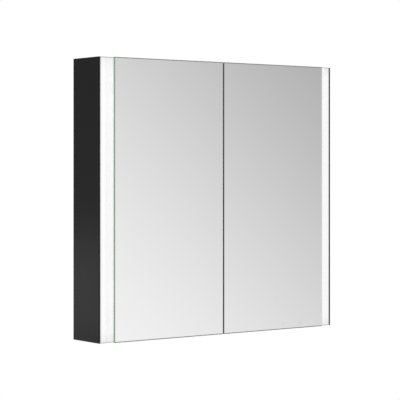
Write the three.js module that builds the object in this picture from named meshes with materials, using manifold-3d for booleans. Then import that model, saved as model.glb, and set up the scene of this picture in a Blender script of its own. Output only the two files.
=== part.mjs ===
// Wall-hung medicine cabinet with two mirrored doors and a vertical light along each side.
//
// Frame: +X to the right, +Y into the wall, +Z up. The origin is the centre of the back plane
// that lies against the wall. Millimetres.
//
// Each side of the cabinet is drawn once, in a plan of its own: u runs inwards from the outer
// face of the side panel, v runs forwards from the front edge of the body. side is -1 on the
// left and +1 on the right.

import * as THREE from 'three';
import { mergeVertices } from 'three/addons/utils/BufferGeometryUtils.js';
import Module from 'manifold-3d';

const wasm = await Module();
wasm.setup();

// ---------------------------------------------------------------- driving dimensions

// Body
const cabinetWidth = 750;
const cabinetHeight = 700;
const bodyDepth = 116;
const seatGap = 0.3; // left between pieces that touch
const sidePanelThickness = 3.8;
const deckThickness = 12;
const deckSkin = 1.6;
const deckFrontRail = 14;
const partitionThickness = 16;
const partitionSkin = 1.5;
const partitionSetback = 2;
const edgeBreak = 0.6; // corners of the drawn sections
const overlap = 1; // how far the walls of one section run into each other
const rearWallThickness = 3;
const rearMirrorThickness = 3;
const hangingDepth = 10; // free space between the rear wall and the building's wall
const grooveRib = 1.5;
const grooveDepth = 4;

// Doors
const doorEdgeInset = 40; // from the outer face of the side panel to the door's edge
const doorReveal = 0.2; // above and below the doors
const doorCentreGap = 4;
const doorStandOff = 4.7; // from the body's front edge to the back of the door
const doorPaneThickness = 2.5;
const doorCoreThickness = 0.7; // steel sheet between the two panes
const doorCoreFlange = 1.5; // its folded edges above and below the panes
const glassArris = 0.4;

// Light units
const lightUnderDoor = 6.3; // how far a light unit reaches behind the door's edge
const profileWall = 2;
const profileBack = 25; // from the body's front edge to the back of the light trough
const diffuserThickness = 2.5;
const outerBandRecess = 0.5;
const innerBandRecess = 4.8;
const outerBandEnd = 19;
const innerBandStart = 27;
const diffuserLeg = 1.8;
const diffuserLegDepth = 12;
const diffuserBarbHeight = 1.6;
const diffuserLegClearance = 0.4;
const snapBead = 0.9;
const snapBeadHeight = 1.2;
const snapGrip = 0.3; // how far a barb reaches under its bead
const stepFacets = 8;
const finCount = 4;
const finStart = 9; // from the outer wall of the trough
const finPitch = 8;
const finLength = 5.5;
const finThickness = 1.4;
const ledBoardWidth = 22;
const ledBoardThickness = 1.6;
const ledBoardStart = 9.5;
const ledBoardEndMargin = 12;
const boardHoleRadius = 1.8;
const boardHoleFromEnd = 6;
const ledFromEnd = 15;
const ledSize = 5;
const ledHeight = 1.5;
const ledCount = 21;
const endCapThickness = 1.5;
const rearReturn = 10;
const rearReturnThickness = 2;
const hookReach = 9.2; // rib of the side panel that hooks round the trough
const hookLip = 1.6;
const hookLipDepth = 4;
const hookThickness = 1.8;
const hookPlace = 44; // from the body's front edge

// Hinges
const hingeFromEnd = 122; // from the top or bottom of the body to the hinge's middle
const hingeLength = 60;
const hingeKnuckleRadius = 2.05;
const hingeBoreRadius = 1.2;
const hingePinRadius = 0.9;
const hingeLeafThickness = 1.5;
const hingeMiddleKnuckle = 30;
const hingeWallLeafDepth = 26;
const hingeDoorLeafWidth = 34;
const hingeAxisFromDoorEdge = 4.3;
const hingeScrewSpacing = 36;
const hingeScrewFromEnd = 8;
const hingeKnuckleGap = 0.4;
const hingeLeafCorner = 4;
const hingePinHead = 1.2;

// Shelves
const shelfCount = 2;
const shelfThickness = 5;
const shelfDepth = 84;
const shelfSideClearance = 2.5;
const shelfRearClearance = 2;
const shelfCornerRadius = 8;
const pegRows = [-80, -32]; // distance from the wall plane, front row and rear row
const pegPitch = 32;
const pegSpareHoles = 1; // above and below each shelf
const pegHoleRadius = 2.6;
const pegPinDepth = 3.2;
const pegFlangeRadius = 4.5;
const pegFlange = 1;
const pegHeadRadius = 3;
const pegHeadLength = 7;
const pegPress = 0.2;

// Fasteners
const screwRadius = 1.4;
const portBoreRadius = 1.7;
const portWall = 1.6;
const screwLength = 16;
const socketRadius = 1.25;
const socketDepth = 1;
const panHeadRadius = 3;
const panHeadHeight = 1.8;
const screwFacets = 10;
const portFacets = 10;
const pegFacets = 10;
const hingeFacets = 12;
const turnedFacets = 16;
const deckPortRows = [-76, -30]; // from the wall plane
const partitionPortRows = [-88, -42];
const capPortRows = { front: 32.5, rear: 12 }; // from the body's front edge and from the wall plane
const panelPortRow = 20; // from the wall plane

// Door stops, catches and touch sensor
const magnetLength = 30;
const magnetHeight = 7;
const magnetPocket = 5;
const magnetFromCentre = 24;
const bumperRadius = 5;
const bumperFromDoorEdge = 50;
const bumperTip = 0.6; // share of the bumper's radius left at its tip
const scoopWidth = 110;
const scoopDepth = 12;
const scoopHeight = 9;
const sensorFromDoorEdge = [134.5, 78];
const sensorHeight = 13; // above the underside of the body
const sensorPadRadius = 5;
const sensorHousingMargin = 12;
const sensorHousingDepth = 15;
const sensorHousingHeight = 12;
const sensorPlateThickness = 1.2;
const sensorPlateMargin = 3;

// Back of the cabinet
const hangerFromSide = 105;
const hangerWidth = 50;
const hangerPlate = 2;
const hangerFromTop = 25;
const hangerPlateHeight = 62;
const hangerLipHeight = 26;
const hangerWallClearance = 0.5;
const hangerScrewRadius = 2;
const hangerScrewLength = 12;
const hangerScrewHead = 3;
const hangerScrewRim = 1.4;
const hangerScrewPoint = 0.7;
const bufferFromSide = 105;
const bufferFromBottom = 50;
const bufferRadius = 14;
const bufferChamfer = 2;
const bufferDimple = 5;
const bufferDimpleDepth = 2.5;
const stiffenerCrown = 24;
const stiffenerSlope = 4;
const stiffenerFlange = 14;
const stiffenerSheet = 1.2;
const stiffenerFromEnd = 50;
const coverLegDepth = 8;
const coverSheet = 1.5;
const cableHoleRadius = 7;
const cableBoreRadius = 4.5;
const cableHoleFromTop = 160;
const grommetFlange = 2.5;
const grommetChamfer = 1;
const terminalSize = [20, 22, 34];
const terminalFromTop = 210;
const terminalFromFront = 62;
const clampRadius = 2.4;
const clampDepth = 4;
const driverSize = [26, 46, 180];
const driverFromTop = 410;
const driverFromFront = 66;
const driverFoot = 5;
const driverFootLength = 12;

// ---------------------------------------------------------------- derived places

const halfWidth = cabinetWidth / 2;
const halfHeight = cabinetHeight / 2;
const bodyFront = -bodyDepth;
const profileStart = sidePanelThickness + seatGap;
const innerFace = doorEdgeInset + lightUnderDoor;
const bayOuter = halfWidth - innerFace; // |x| of the inner walls' faces
const bayInner = partitionThickness / 2;
const deckInside = halfHeight - deckThickness; // |z| of the decks' inner faces
const deckHalfWidth = bayOuter - seatGap;
const profileHalfHeight = halfHeight - endCapThickness - seatGap;
const rearWallBack = -hangingDepth;
const rearWallFront = rearWallBack - rearWallThickness;
const doorBack = bodyFront - doorStandOff;
const doorFront = doorBack - 2 * doorPaneThickness - 2 * seatGap - doorCoreThickness;
const doorHalfHeight = halfHeight - doorReveal;
const paneHalfHeight = doorHalfHeight - doorCoreFlange - seatGap;
const doorOuter = halfWidth - doorEdgeInset;
const doorInner = doorCentreGap / 2;
const hingeAxisU = doorEdgeInset + hingeAxisFromDoorEdge;
const hingeAxisV = doorStandOff / 2;
const deckMiddle = halfHeight - deckThickness / 2;
const hingeHeights = { lower: hingeFromEnd - halfHeight, upper: halfHeight - hingeFromEnd };
const shelfPitch = 2 * deckInside / (shelfCount + 1);
const shelfHeights = Array.from({ length: shelfCount }, (_, i) => (i + 1) * shelfPitch - deckInside);
const sensorCentres = sensorFromDoorEdge.map((inset) => doorOuter - inset);
const hangerFromCentre = halfWidth - hangerFromSide;
const hangerTop = halfHeight - hangerFromTop;
const cableHoleHeight = halfHeight - cableHoleFromTop;
const diffuserLegEnd = -outerBandRecess - diffuserThickness - diffuserLegDepth;
const troughFloor = [-profileBack, -profileBack + profileWall]; // back and front of the trough's floor
const coverSpan = [
  sidePanelThickness + rearReturn + seatGap,
  innerFace - profileWall - rearReturn - seatGap,
];
const cableU = (coverSpan[0] + coverSpan[1]) / 2;
const sides = { left: -1, right: 1 };

// ---------------------------------------------------------------- finishes

function finish(color, roughness, metalness, extra = {}) {
  return new THREE.MeshStandardMaterial({ color, roughness, metalness, ...extra });
}

const blackAluminium = finish(0x2b2b2c, 0.45, 0.3);
const satinAluminium = finish(0xb9bcbe, 0.35, 0.9);
const opalAcrylic = finish(0xfafafa, 0.5, 0, { emissive: 0xffffff, emissiveIntensity: 0.6 });
const mirrorGlass = finish(0xd9dcdc, 0.04, 1);
const clearGlass = finish(0xcfe3dc, 0.05, 0, { transparent: true, opacity: 0.45 });
const steel = finish(0xa6a8aa, 0.3, 1);
const blackSteel = finish(0x232324, 0.5, 0.2);
const zincSteel = finish(0xb4b8b6, 0.45, 0.8);
const whitePlastic = finish(0xececea, 0.5, 0);
const greyPlastic = finish(0x8c8f91, 0.55, 0);
const blackRubber = finish(0x1d1d1d, 0.8, 0);
const clearSilicone = finish(0xe4e8e8, 0.4, 0);
const circuitBoard = finish(0xf2f3ee, 0.5, 0);
const magnetBlack = finish(0x3a3a3c, 0.6, 0.4);

// ---------------------------------------------------------------- geometry helpers

function toSolid(geometry) {
  const bare = geometry.clone();
  bare.deleteAttribute('normal');
  bare.deleteAttribute('uv');
  const merged = mergeVertices(bare, 1e-4);
  const corners = merged.index.array;
  const kept = [];
  for (let i = 0; i < corners.length; i += 3) {
    const [a, b, c] = corners.slice(i, i + 3);
    if (a !== b && b !== c && c !== a) kept.push(a, b, c);
  }
  return new wasm.Manifold(new wasm.Mesh({
    numProp: 3,
    vertProperties: new Float32Array(merged.attributes.position.array),
    triVerts: new Uint32Array(kept),
  }));
}

function toGeometry(solid) {
  const mesh = solid.getMesh();
  const geometry = new THREE.BufferGeometry();
  geometry.setAttribute('position', new THREE.BufferAttribute(mesh.vertProperties, 3));
  geometry.setIndex(new THREE.BufferAttribute(mesh.triVerts, 1));
  geometry.computeVertexNormals();
  return geometry;
}

function join(geometries) {
  return toGeometry(geometries.map(toSolid).reduce((whole, piece) => whole.add(piece)));
}

function cut(geometry, tools) {
  return toGeometry(tools.map(toSolid).reduce((whole, tool) => whole.subtract(tool), toSolid(geometry)));
}

// A box between two opposite corners, given as ranges that may run either way.
function block([x0, x1], [y0, y1], [z0, z1]) {
  const geometry = new THREE.BoxGeometry(Math.abs(x1 - x0), Math.abs(y1 - y0), Math.abs(z1 - z0));
  return geometry.translate((x0 + x1) / 2, (y0 + y1) / 2, (z0 + z1) / 2);
}

function shapeOf(points) {
  return new THREE.Shape(points.map(([a, b]) => new THREE.Vector2(a, b)));
}

function drawn(shape, depth) {
  return new THREE.ExtrudeGeometry(shape, { depth, bevelEnabled: false, curveSegments: 5 });
}

// A plan outline in x and y, raised from z0 to z1.
function raise(shape, z0, z1) {
  return drawn(shape, z1 - z0).translate(0, 0, z0);
}

// An end outline in y and z, drawn out from x0 to x1.
function drawAcross(shape, x0, x1) {
  const turn = new THREE.Matrix4().makeBasis(
    new THREE.Vector3(0, 1, 0), new THREE.Vector3(0, 0, 1), new THREE.Vector3(1, 0, 0));
  return drawn(shape, x1 - x0).applyMatrix4(turn).translate(x0, 0, 0);
}

// A sheet of glass with ground edges: an outline in x and z between two depths.
function groundPane(shape, yFront, yBack, arris) {
  const geometry = new THREE.ExtrudeGeometry(shape, {
    depth: yBack - yFront - 2 * arris,
    bevelEnabled: true,
    bevelThickness: arris,
    bevelSize: arris,
    bevelOffset: -arris,
    bevelSegments: 1,
    curveSegments: 5,
  });
  return geometry.rotateX(Math.PI / 2).translate(0, yBack - arris, 0);
}

function rectangle(x0, x1, z0, z1) {
  return shapeOf([[x0, z0], [x1, z0], [x1, z1], [x0, z1]]);
}

// A turned piece: its axis starts along +Y and is then aimed along outward from a point.
function turned(profile, segments, point, outward) {
  const geometry = new THREE.LatheGeometry(profile.map(([r, h]) => new THREE.Vector2(r, h)), segments);
  const aim = new THREE.Quaternion().setFromUnitVectors(
    new THREE.Vector3(0, 1, 0), new THREE.Vector3(...outward));
  return geometry.applyQuaternion(aim).translate(...point);
}

function rod(radius, from, to, segments) {
  const start = new THREE.Vector3(...from);
  const along = new THREE.Vector3(...to).sub(start);
  const length = along.length();
  const profile = [[0, 0], [radius, 0], [radius, length], [0, length]];
  return turned(profile, segments, from, along.normalize().toArray());
}

// Screws are one with the piece that they clamp. A screw's head starts on the face at point.
function flushScrew(point, outward, length) {
  return rod(screwRadius, point.map((p, i) => p - outward[i] * length), point, screwFacets);
}

function hexSocket(point, outward) {
  const [floor, mouth] = [-socketDepth, overlap].map((h) => point.map((p, i) => p + outward[i] * h));
  return rod(socketRadius, floor, mouth, 6);
}

function panScrew(point, outward, length) {
  const profile = [[0, -length], [screwRadius, -length], [screwRadius, -seatGap], [panHeadRadius, -seatGap],
    [panHeadRadius, panHeadHeight / 2], [screwRadius, panHeadHeight], [0, panHeadHeight]];
  return turned(profile, screwFacets, point, outward);
}

const cabinet = new THREE.Group();

function add(name, geometry, material) {
  const mesh = new THREE.Mesh(geometry, material);
  mesh.name = name;
  cabinet.add(mesh);
}

// Plan coordinates of one side, turned into x and y.
const atU = (side, u) => side * (halfWidth - u);
const atV = (v) => bodyFront - v;
const sidePlan = (side, points) => shapeOf(points.map(([u, v]) => [atU(side, u), atV(v)]));

function sideBar(side, [u0, u1], [v0, v1], halfLength) {
  return raise(sidePlan(side, [[u0, v0], [u1, v0], [u1, v1], [u0, v1]]), -halfLength, halfLength);
}

function sideTube(side, u, v, radius, halfLength) {
  const [x, y] = [atU(side, u), atV(v)];
  return rod(radius, [x, y, -halfLength], [x, y, halfLength], portFacets);
}

// ---------------------------------------------------------------- side panels

const portRadius = portBoreRadius + portWall;
const panelPort = [sidePanelThickness + portRadius - portWall / 4, panelPortRow - bodyDepth];
const capPorts = [ // screw ports of the light profile
  [profileStart + profileWall + portBoreRadius - portWall / 4, -capPortRows.front],
  [innerFace - profileWall - portRadius + portWall / 4, capPortRows.rear - bodyDepth],
];

function sidePanel(side) {
  const plate = raise(sidePlan(side, [
    [edgeBreak, 0], [sidePanelThickness - edgeBreak, 0], [sidePanelThickness, -edgeBreak],
    [sidePanelThickness, -bodyDepth], [0, -bodyDepth], [0, -edgeBreak],
  ]), -halfHeight, halfHeight);
  const root = sidePanelThickness - overlap;
  const innerHalf = profileHalfHeight - seatGap;
  const lip = [-hookPlace + hookThickness - overlap, -hookPlace + hookThickness + hookLipDepth];
  const ribs = [
    sideBar(side, [root, sidePanelThickness + rearReturn],
      [-bodyDepth, -bodyDepth + rearReturnThickness], halfHeight),
    sideBar(side, [root, hookReach], [-hookPlace, -hookPlace + hookThickness], innerHalf),
    sideBar(side, [hookReach - hookLip, hookReach], lip, innerHalf),
    sideTube(side, ...panelPort, portRadius, innerHalf),
  ];
  const bore = sideTube(side, ...panelPort, portBoreRadius, cabinetHeight);
  return cut(join([plate, ...ribs]), [bore]);
}

// ---------------------------------------------------------------- light profile

const outerWallEnd = -hookPlace + hookThickness + seatGap;

// Heights of the shelf peg holes.
function pegHeights() {
  const heights = [];
  for (const shelf of shelfHeights) {
    for (let step = -pegSpareHoles; step <= pegSpareHoles; step += 1) heights.push(shelf + step * pegPitch);
  }
  return heights;
}

function lightProfile(side) {
  const half = profileHalfHeight;
  const beadStart = diffuserLegEnd + diffuserBarbHeight + seatGap;
  const bead = [beadStart, beadStart + snapBeadHeight];
  const [floorBack, floorFront] = troughFloor;
  const trough = [
    sideBar(side, [profileStart, profileStart + profileWall],
      [-outerBandRecess - diffuserThickness - seatGap, outerWallEnd], half),
    sideBar(side, [profileStart, innerFace - profileWall / 2], [floorFront, floorBack], half),
    sideBar(side, [innerFace - profileWall, innerFace],
      [-innerBandRecess - diffuserThickness - seatGap, -bodyDepth], half),
    sideBar(side, [innerFace - profileWall - rearReturn, innerFace - profileWall / 2],
      [-bodyDepth, -bodyDepth + rearReturnThickness], half),
    sideBar(side, [profileStart + overlap, profileStart + profileWall + snapBead], bead, half),
    sideBar(side, [innerFace - profileWall - snapBead, innerFace - overlap], bead, half),
  ];
  for (let i = 0; i < finCount; i += 1) {
    const u = profileStart + finStart + i * finPitch;
    trough.push(sideBar(side, [u, u + finThickness], [floorBack + overlap, floorBack - finLength], half));
  }
  for (const port of capPorts) trough.push(sideTube(side, ...port, portRadius, half));
  const bores = capPorts.map((port) => sideTube(side, ...port, portBoreRadius, cabinetHeight));
  for (const y of pegRows) {
    for (const z of pegHeights()) {
      bores.push(rod(pegHoleRadius, [atU(side, innerFace + overlap), y, z],
        [atU(side, innerFace - profileWall - overlap), y, z], pegFacets));
    }
  }
  return join([cut(join(trough), bores), ...deckScrews(side), ...shelfPegs(side * bayOuter, -side)]);
}

// Screws from the cable space through the inner wall into the ports of the decks.
function deckScrews(side) {
  const screws = [];
  for (const end of [-1, 1]) {
    for (const y of deckPortRows) {
      const point = [atU(side, innerFace - profileWall), y, end * deckMiddle];
      screws.push(panScrew(point, [side, 0, 0], screwLength));
    }
  }
  return screws;
}

// Pegs that carry the shelves, set in a wall at x.
function shelfPegs(x, outward) {
  const pin = pegHoleRadius + pegPress;
  const profile = [[0, -pegPinDepth], [pin, -pegPinDepth], [pin, 0], [pegFlangeRadius, 0],
    [pegFlangeRadius, pegFlange], [pegHeadRadius, pegFlange], [pegHeadRadius, pegHeadLength],
    [0, pegHeadLength]];
  const pegs = [];
  for (const height of shelfHeights) {
    for (const y of pegRows) pegs.push(turned(profile, pegFacets, [x, y, height], [outward, 0, 0]));
  }
  return pegs;
}

// ---------------------------------------------------------------- diffuser

// Front of the diffuser in plan: an outer band that stands proud, a soft step, and an inner band
// set back so that the door's edge can swing past it.
function diffuserFront() {
  const outline = [[profileStart, -outerBandRecess]];
  for (let i = 0; i <= stepFacets; i += 1) {
    const t = i / stepFacets;
    const ease = (1 - Math.cos(Math.PI * t)) / 2;
    const u = outerBandEnd + t * (innerBandStart - outerBandEnd);
    outline.push([u, -outerBandRecess - ease * (innerBandRecess - outerBandRecess)]);
  }
  outline.push([innerFace, -innerBandRecess]);
  return outline;
}

function diffuser(side) {
  const front = diffuserFront();
  const back = front.map(([u, v]) => [u, v - diffuserThickness]).reverse();
  const plate = raise(sidePlan(side, [...front, ...back]), -profileHalfHeight, profileHalfHeight);
  const outerLeg = profileStart + profileWall + snapBead + diffuserLegClearance;
  const innerLeg = innerFace - profileWall - snapBead - diffuserLegClearance;
  const barb = diffuserLegClearance + snapGrip;
  const leg = (u, recess) => sideBar(side, u, [-recess - overlap, diffuserLegEnd], profileHalfHeight);
  const barbHeights = [diffuserLegEnd, diffuserLegEnd + diffuserBarbHeight];
  const hook = (u) => sideBar(side, u, barbHeights, profileHalfHeight);
  return join([
    plate,
    leg([outerLeg, outerLeg + diffuserLeg], outerBandRecess),
    leg([innerLeg - diffuserLeg, innerLeg], innerBandRecess),
    hook([outerLeg - barb, outerLeg + overlap]),
    hook([innerLeg - overlap, innerLeg + barb]),
  ]);
}

// ---------------------------------------------------------------- light boards

const boardBack = troughFloor[1] + seatGap;
const boardHalfLength = profileHalfHeight - ledBoardEndMargin;

function ledBoard(side) {
  const board = sideBar(side, [ledBoardStart, ledBoardStart + ledBoardWidth],
    [boardBack, boardBack + ledBoardThickness], boardHalfLength);
  const holes = [-1, 1].map((end) => {
    const x = atU(side, ledBoardStart + ledBoardWidth / 2);
    const z = end * (boardHalfLength - boardHoleFromEnd);
    const [back, front] = [boardBack - overlap, boardBack + ledBoardThickness + overlap];
    return rod(boardHoleRadius, [x, atV(back), z], [x, atV(front), z], screwFacets);
  });
  return join([cut(board, holes), ...leds(side)]);
}

function leds(side) {
  const u = ledBoardStart + ledBoardWidth / 2;
  const v = boardBack + ledBoardThickness;
  const pitch = 2 * (boardHalfLength - ledFromEnd) / (ledCount - 1);
  const chips = [];
  for (let i = 0; i < ledCount; i += 1) {
    const z = (i - (ledCount - 1) / 2) * pitch;
    chips.push(block([atU(side, u - ledSize / 2), atU(side, u + ledSize / 2)],
      [atV(v - ledBoardThickness / 2), atV(v + ledHeight)], [z - ledSize / 2, z + ledSize / 2]));
  }
  return chips;
}

// ---------------------------------------------------------------- end caps

const capScrewPlaces = [...capPorts, panelPort];

function endCap(side, end) {
  const outline = [...diffuserFront(), [innerFace, -bodyDepth + rearReturnThickness + seatGap],
    [profileStart, -bodyDepth + rearReturnThickness + seatGap]];
  const z = [end * halfHeight, end * (halfHeight - endCapThickness)].sort((a, b) => a - b);
  const plate = raise(sidePlan(side, outline), ...z);
  const places = capScrewPlaces.map(([u, v]) => [atU(side, u), atV(v), end * halfHeight]);
  const outward = [0, 0, end];
  const screws = places.map((place) => flushScrew(place, outward, screwLength));
  return cut(join([plate, ...screws]), places.map((place) => hexSocket(place, outward)));
}

// ---------------------------------------------------------------- decks

// Top and bottom decks are lengths of one hollow section: a solid front rail, chambers with webs
// and screw ports behind it, and two ribs that hold the rear wall.
function deckSection(end) {
  const [inside, outside] = [end * deckInside, end * halfHeight];
  const x = [-deckHalfWidth, deckHalfWidth];
  const outline = shapeOf([
    [bodyFront + edgeBreak, outside], [bodyFront, outside - end * edgeBreak],
    [bodyFront, inside + end * edgeBreak], [bodyFront + edgeBreak, inside], [0, inside], [0, outside],
  ]);
  const ribReach = [inside + end * overlap, inside - end * grooveDepth];
  const ribFront = rearWallFront - seatGap;
  const ribBack = rearWallBack + seatGap;
  const shell = join([
    drawAcross(outline, ...x),
    block(x, [ribFront - grooveRib, ribFront], ribReach),
    block(x, [ribBack, ribBack + grooveRib], ribReach),
  ]);
  const webs = [bodyFront + deckFrontRail - deckSkin / 2, deckPortRows[0],
    (deckPortRows[0] + deckPortRows[1]) / 2, deckPortRows[1], ribFront - grooveRib - deckSkin / 2];
  const chambers = [];
  for (let i = 0; i < webs.length - 1; i += 1) {
    chambers.push(block([-cabinetWidth, cabinetWidth], [webs[i] + deckSkin / 2, webs[i + 1] - deckSkin / 2],
      [inside + end * deckSkin, outside - end * deckSkin]));
  }
  const middle = end * deckMiddle;
  const port = (y, radius, reach) => rod(radius, [-reach, y, middle], [reach, y, middle], portFacets);
  const ports = deckPortRows.map((y) => port(y, portRadius, deckHalfWidth));
  const bores = deckPortRows.map((y) => port(y, portBoreRadius, cabinetWidth));
  const hollow = cut(join([cut(shell, chambers), ...ports]), bores);
  const heads = partitionPortRows.map((y) => [0, y, outside]);
  const screws = heads.map((place) => flushScrew(place, [0, 0, end], deckThickness + screwLength));
  return cut(join([hollow, ...screws]), heads.map((place) => hexSocket(place, [0, 0, end])));
}

function topDeck() {
  return cut(deckSection(1), Object.values(sides).map((side) => magnetBar(side, seatGap)));
}

// The bottom deck has a scoop behind the meeting edges of the doors, for the fingers.
function bottomDeck() {
  const half = scoopWidth / 2;
  const scoop = new THREE.Shape();
  scoop.moveTo(-half, bodyFront - overlap);
  scoop.absarc(-half + scoopDepth, bodyFront, scoopDepth, Math.PI, Math.PI / 2, true);
  scoop.absarc(half - scoopDepth, bodyFront, scoopDepth, Math.PI / 2, 0, true);
  scoop.lineTo(half, bodyFront - overlap);
  return cut(deckSection(-1), [raise(scoop, -halfHeight - overlap, -halfHeight + scoopHeight)]);
}

// ---------------------------------------------------------------- partition

const partitionFront = bodyFront + partitionSetback;
const partitionBack = rearWallFront - 2 * seatGap - grooveRib;
const partitionHalfHeight = deckInside - seatGap;

function partition() {
  const z = [-partitionHalfHeight, partitionHalfHeight];
  const shell = block([-bayInner, bayInner], [partitionFront, partitionBack], z);
  const hollow = block([-bayInner + partitionSkin, bayInner - partitionSkin],
    [partitionFront + partitionSkin, partitionBack - partitionSkin], [-cabinetHeight, cabinetHeight]);
  const webs = partitionPortRows.map((y) => block(
    [-bayInner + overlap, bayInner - overlap], [y - portWall / 2, y + portWall / 2], z));
  const ports = partitionPortRows.map((y) => rod(portRadius, [0, y, z[0]], [0, y, z[1]], portFacets));
  const bores = partitionPortRows.map((y) => rod(portBoreRadius,
    [0, y, -cabinetHeight], [0, y, cabinetHeight], portFacets));
  for (const y of pegRows) {
    for (const height of pegHeights()) {
      const [left, right] = [[-partitionThickness, y, height], [partitionThickness, y, height]];
      bores.push(rod(pegHoleRadius, left, right, pegFacets));
    }
  }
  const frame = cut(join([cut(shell, [hollow]), ...webs, ...ports]), bores);
  return join([frame, ...shelfPegs(-bayInner, -1), ...shelfPegs(bayInner, 1)]);
}

// ---------------------------------------------------------------- back of the cabinet

function rearWall() {
  return block([-deckHalfWidth, deckHalfWidth], [rearWallFront, rearWallBack],
    [-deckInside + seatGap, deckInside - seatGap]);
}

function rearMirror(side) {
  const x = [side * (bayInner + seatGap), side * deckHalfWidth].sort((a, b) => a - b);
  const z = deckInside - grooveDepth - seatGap;
  const back = rearWallFront - seatGap;
  return groundPane(rectangle(x[0], x[1], -z, z), back - rearMirrorThickness, back, glassArris);
}

// A top-hat section up the middle of the back: its crown lies on the wall.
function rearStiffener() {
  const crown = stiffenerCrown / 2;
  const foot = crown + stiffenerSlope;
  const flange = foot + stiffenerFlange;
  const sheet = stiffenerSheet;
  const base = rearWallBack + seatGap;
  const outline = [[-flange, base], [-foot, base], [-crown + sheet, -sheet], [crown - sheet, -sheet],
    [foot, base], [flange, base], [flange, base + sheet], [foot + sheet, base + sheet],
    [crown, 0], [-crown, 0], [-foot - sheet, base + sheet], [-flange, base + sheet]];
  return raise(shapeOf(outline), stiffenerFromEnd - halfHeight, halfHeight - stiffenerFromEnd);
}

// Closes the cable space of one side between the two returns at the wall.
function rearCover(side, pierced) {
  const [from, to] = coverSpan;
  const half = profileHalfHeight - seatGap;
  const legs = [-bodyDepth, -bodyDepth + coverLegDepth];
  const cover = join([
    sideBar(side, coverSpan, [-bodyDepth, -bodyDepth + coverSheet], half),
    sideBar(side, [from, from + coverSheet], legs, half),
    sideBar(side, [to - coverSheet, to], legs, half),
  ]);
  if (!pierced) return cover;
  const ends = [-coverLegDepth, overlap].map((y) => [atU(side, cableU), y, cableHoleHeight]);
  return cut(cover, [rod(cableHoleRadius, ...ends, turnedFacets)]);
}

function cableGrommet(side) {
  const body = cableHoleRadius - seatGap;
  const inside = -coverSheet - grommetFlange;
  const profile = [[cableBoreRadius, inside], [body - grommetChamfer, inside],
    [body, inside + grommetChamfer], [body, 0], [cableBoreRadius + grommetChamfer, 0],
    [cableBoreRadius, -grommetChamfer], [cableBoreRadius, inside]];
  return turned(profile, turnedFacets, [atU(side, cableU), 0, cableHoleHeight], [0, 1, 0]);
}

// Hook over the tongue of a wall plate: an inverted J of steel plate.
function wallHanger(side) {
  const base = rearWallBack + seatGap;
  const lip = -hangerWallClearance;
  const bend = hangerPlate;
  const shape = new THREE.Shape();
  shape.moveTo(base, hangerTop - hangerPlateHeight);
  shape.lineTo(base + hangerPlate, hangerTop - hangerPlateHeight);
  shape.lineTo(base + hangerPlate, hangerTop - hangerPlate);
  shape.lineTo(lip - hangerPlate, hangerTop - hangerPlate);
  shape.lineTo(lip - hangerPlate, hangerTop - hangerLipHeight);
  shape.lineTo(lip, hangerTop - hangerLipHeight);
  shape.absarc(lip - bend, hangerTop - bend, bend, 0, Math.PI / 2, false);
  shape.absarc(base + bend, hangerTop - bend, bend, Math.PI / 2, Math.PI, false);
  const x = side * hangerFromCentre;
  const hook = drawAcross(shape, x - hangerWidth / 2, x + hangerWidth / 2);
  const [px, py, pz] = hangerScrewPlace(side);
  const ends = [-hangerPlate - overlap, overlap].map((rise) => [px, py, pz + rise]);
  return cut(hook, [rod(hangerScrewRadius + seatGap, ...ends, hingeFacets)]);
}

function hangerScrewPlace(side) {
  const slotMiddle = (rearWallBack + seatGap - hangerWallClearance) / 2;
  return [side * hangerFromCentre, slotMiddle, hangerTop];
}

function levellingScrew(side) {
  const r = hangerScrewRadius;
  const rim = r + hangerScrewRim;
  const profile = [[0, -hangerScrewLength], [r - hangerScrewPoint, -hangerScrewLength],
    [r, -hangerScrewLength + hangerScrewPoint], [r, seatGap], [rim, seatGap], [rim, hangerScrewHead],
    [0, hangerScrewHead]];
  const place = hangerScrewPlace(side);
  const head = [place[0], place[1], place[2] + hangerScrewHead];
  return cut(turned(profile, hingeFacets, place, [0, 0, 1]), [hexSocket(head, [0, 0, 1])]);
}

function wallBuffer(side) {
  const depth = hangingDepth - seatGap;
  const r = bufferRadius;
  const profile = [[0, -depth], [r, -depth], [r, -bufferChamfer], [r - bufferChamfer, 0], [bufferDimple, 0],
    [bufferDimple - overlap, -bufferDimpleDepth], [0, -bufferDimpleDepth]];
  const place = [side * (halfWidth - bufferFromSide), 0, bufferFromBottom - halfHeight];
  return turned(profile, turnedFacets, place, [0, 1, 0]);
}

// Mains terminal block and light driver, in the cable space of the right-hand side.
function terminalBlock(side) {
  const [deep, wide, tall] = terminalSize;
  const u = innerFace - profileWall - seatGap;
  const y = atV(-terminalFromFront);
  const z = halfHeight - terminalFromTop;
  const body = block([atU(side, u), atU(side, u - deep)], [y - wide / 2, y + wide / 2],
    [z - tall / 2, z + tall / 2]);
  const [floor, mouth] = [atU(side, u - deep + clampDepth), atU(side, u - deep - overlap)];
  const clamps = [-1, 0, 1].map((pole) => {
    const height = z + pole * tall / 3.4;
    return rod(clampRadius, [floor, y, height], [mouth, y, height], screwFacets);
  });
  return cut(body, clamps);
}

function lightDriver(side) {
  const [deep, wide, tall] = driverSize;
  const face = innerFace - profileWall - seatGap;
  const u = [face - deep, face - driverFoot];
  const y = atV(-driverFromFront);
  const middle = halfHeight - driverFromTop;
  const z = [middle - tall / 2, middle + tall / 2];
  const body = block([atU(side, u[0]), atU(side, u[1])], [y - wide / 2, y + wide / 2], z);
  const feet = [-1, 1].map((end) => {
    const tip = middle + end * tall / 2;
    return block([atU(side, u[1] - overlap), atU(side, face)], [y - wide / 3, y + wide / 3],
      [tip, tip - end * driverFootLength]);
  });
  return join([body, ...feet]);
}

// ---------------------------------------------------------------- doors

function doorPane(side, yFront, yBack) {
  const x = [side * doorInner, side * doorOuter].sort((a, b) => a - b);
  return groundPane(rectangle(x[0], x[1], -paneHalfHeight, paneHalfHeight), yFront, yBack, glassArris);
}

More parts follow.
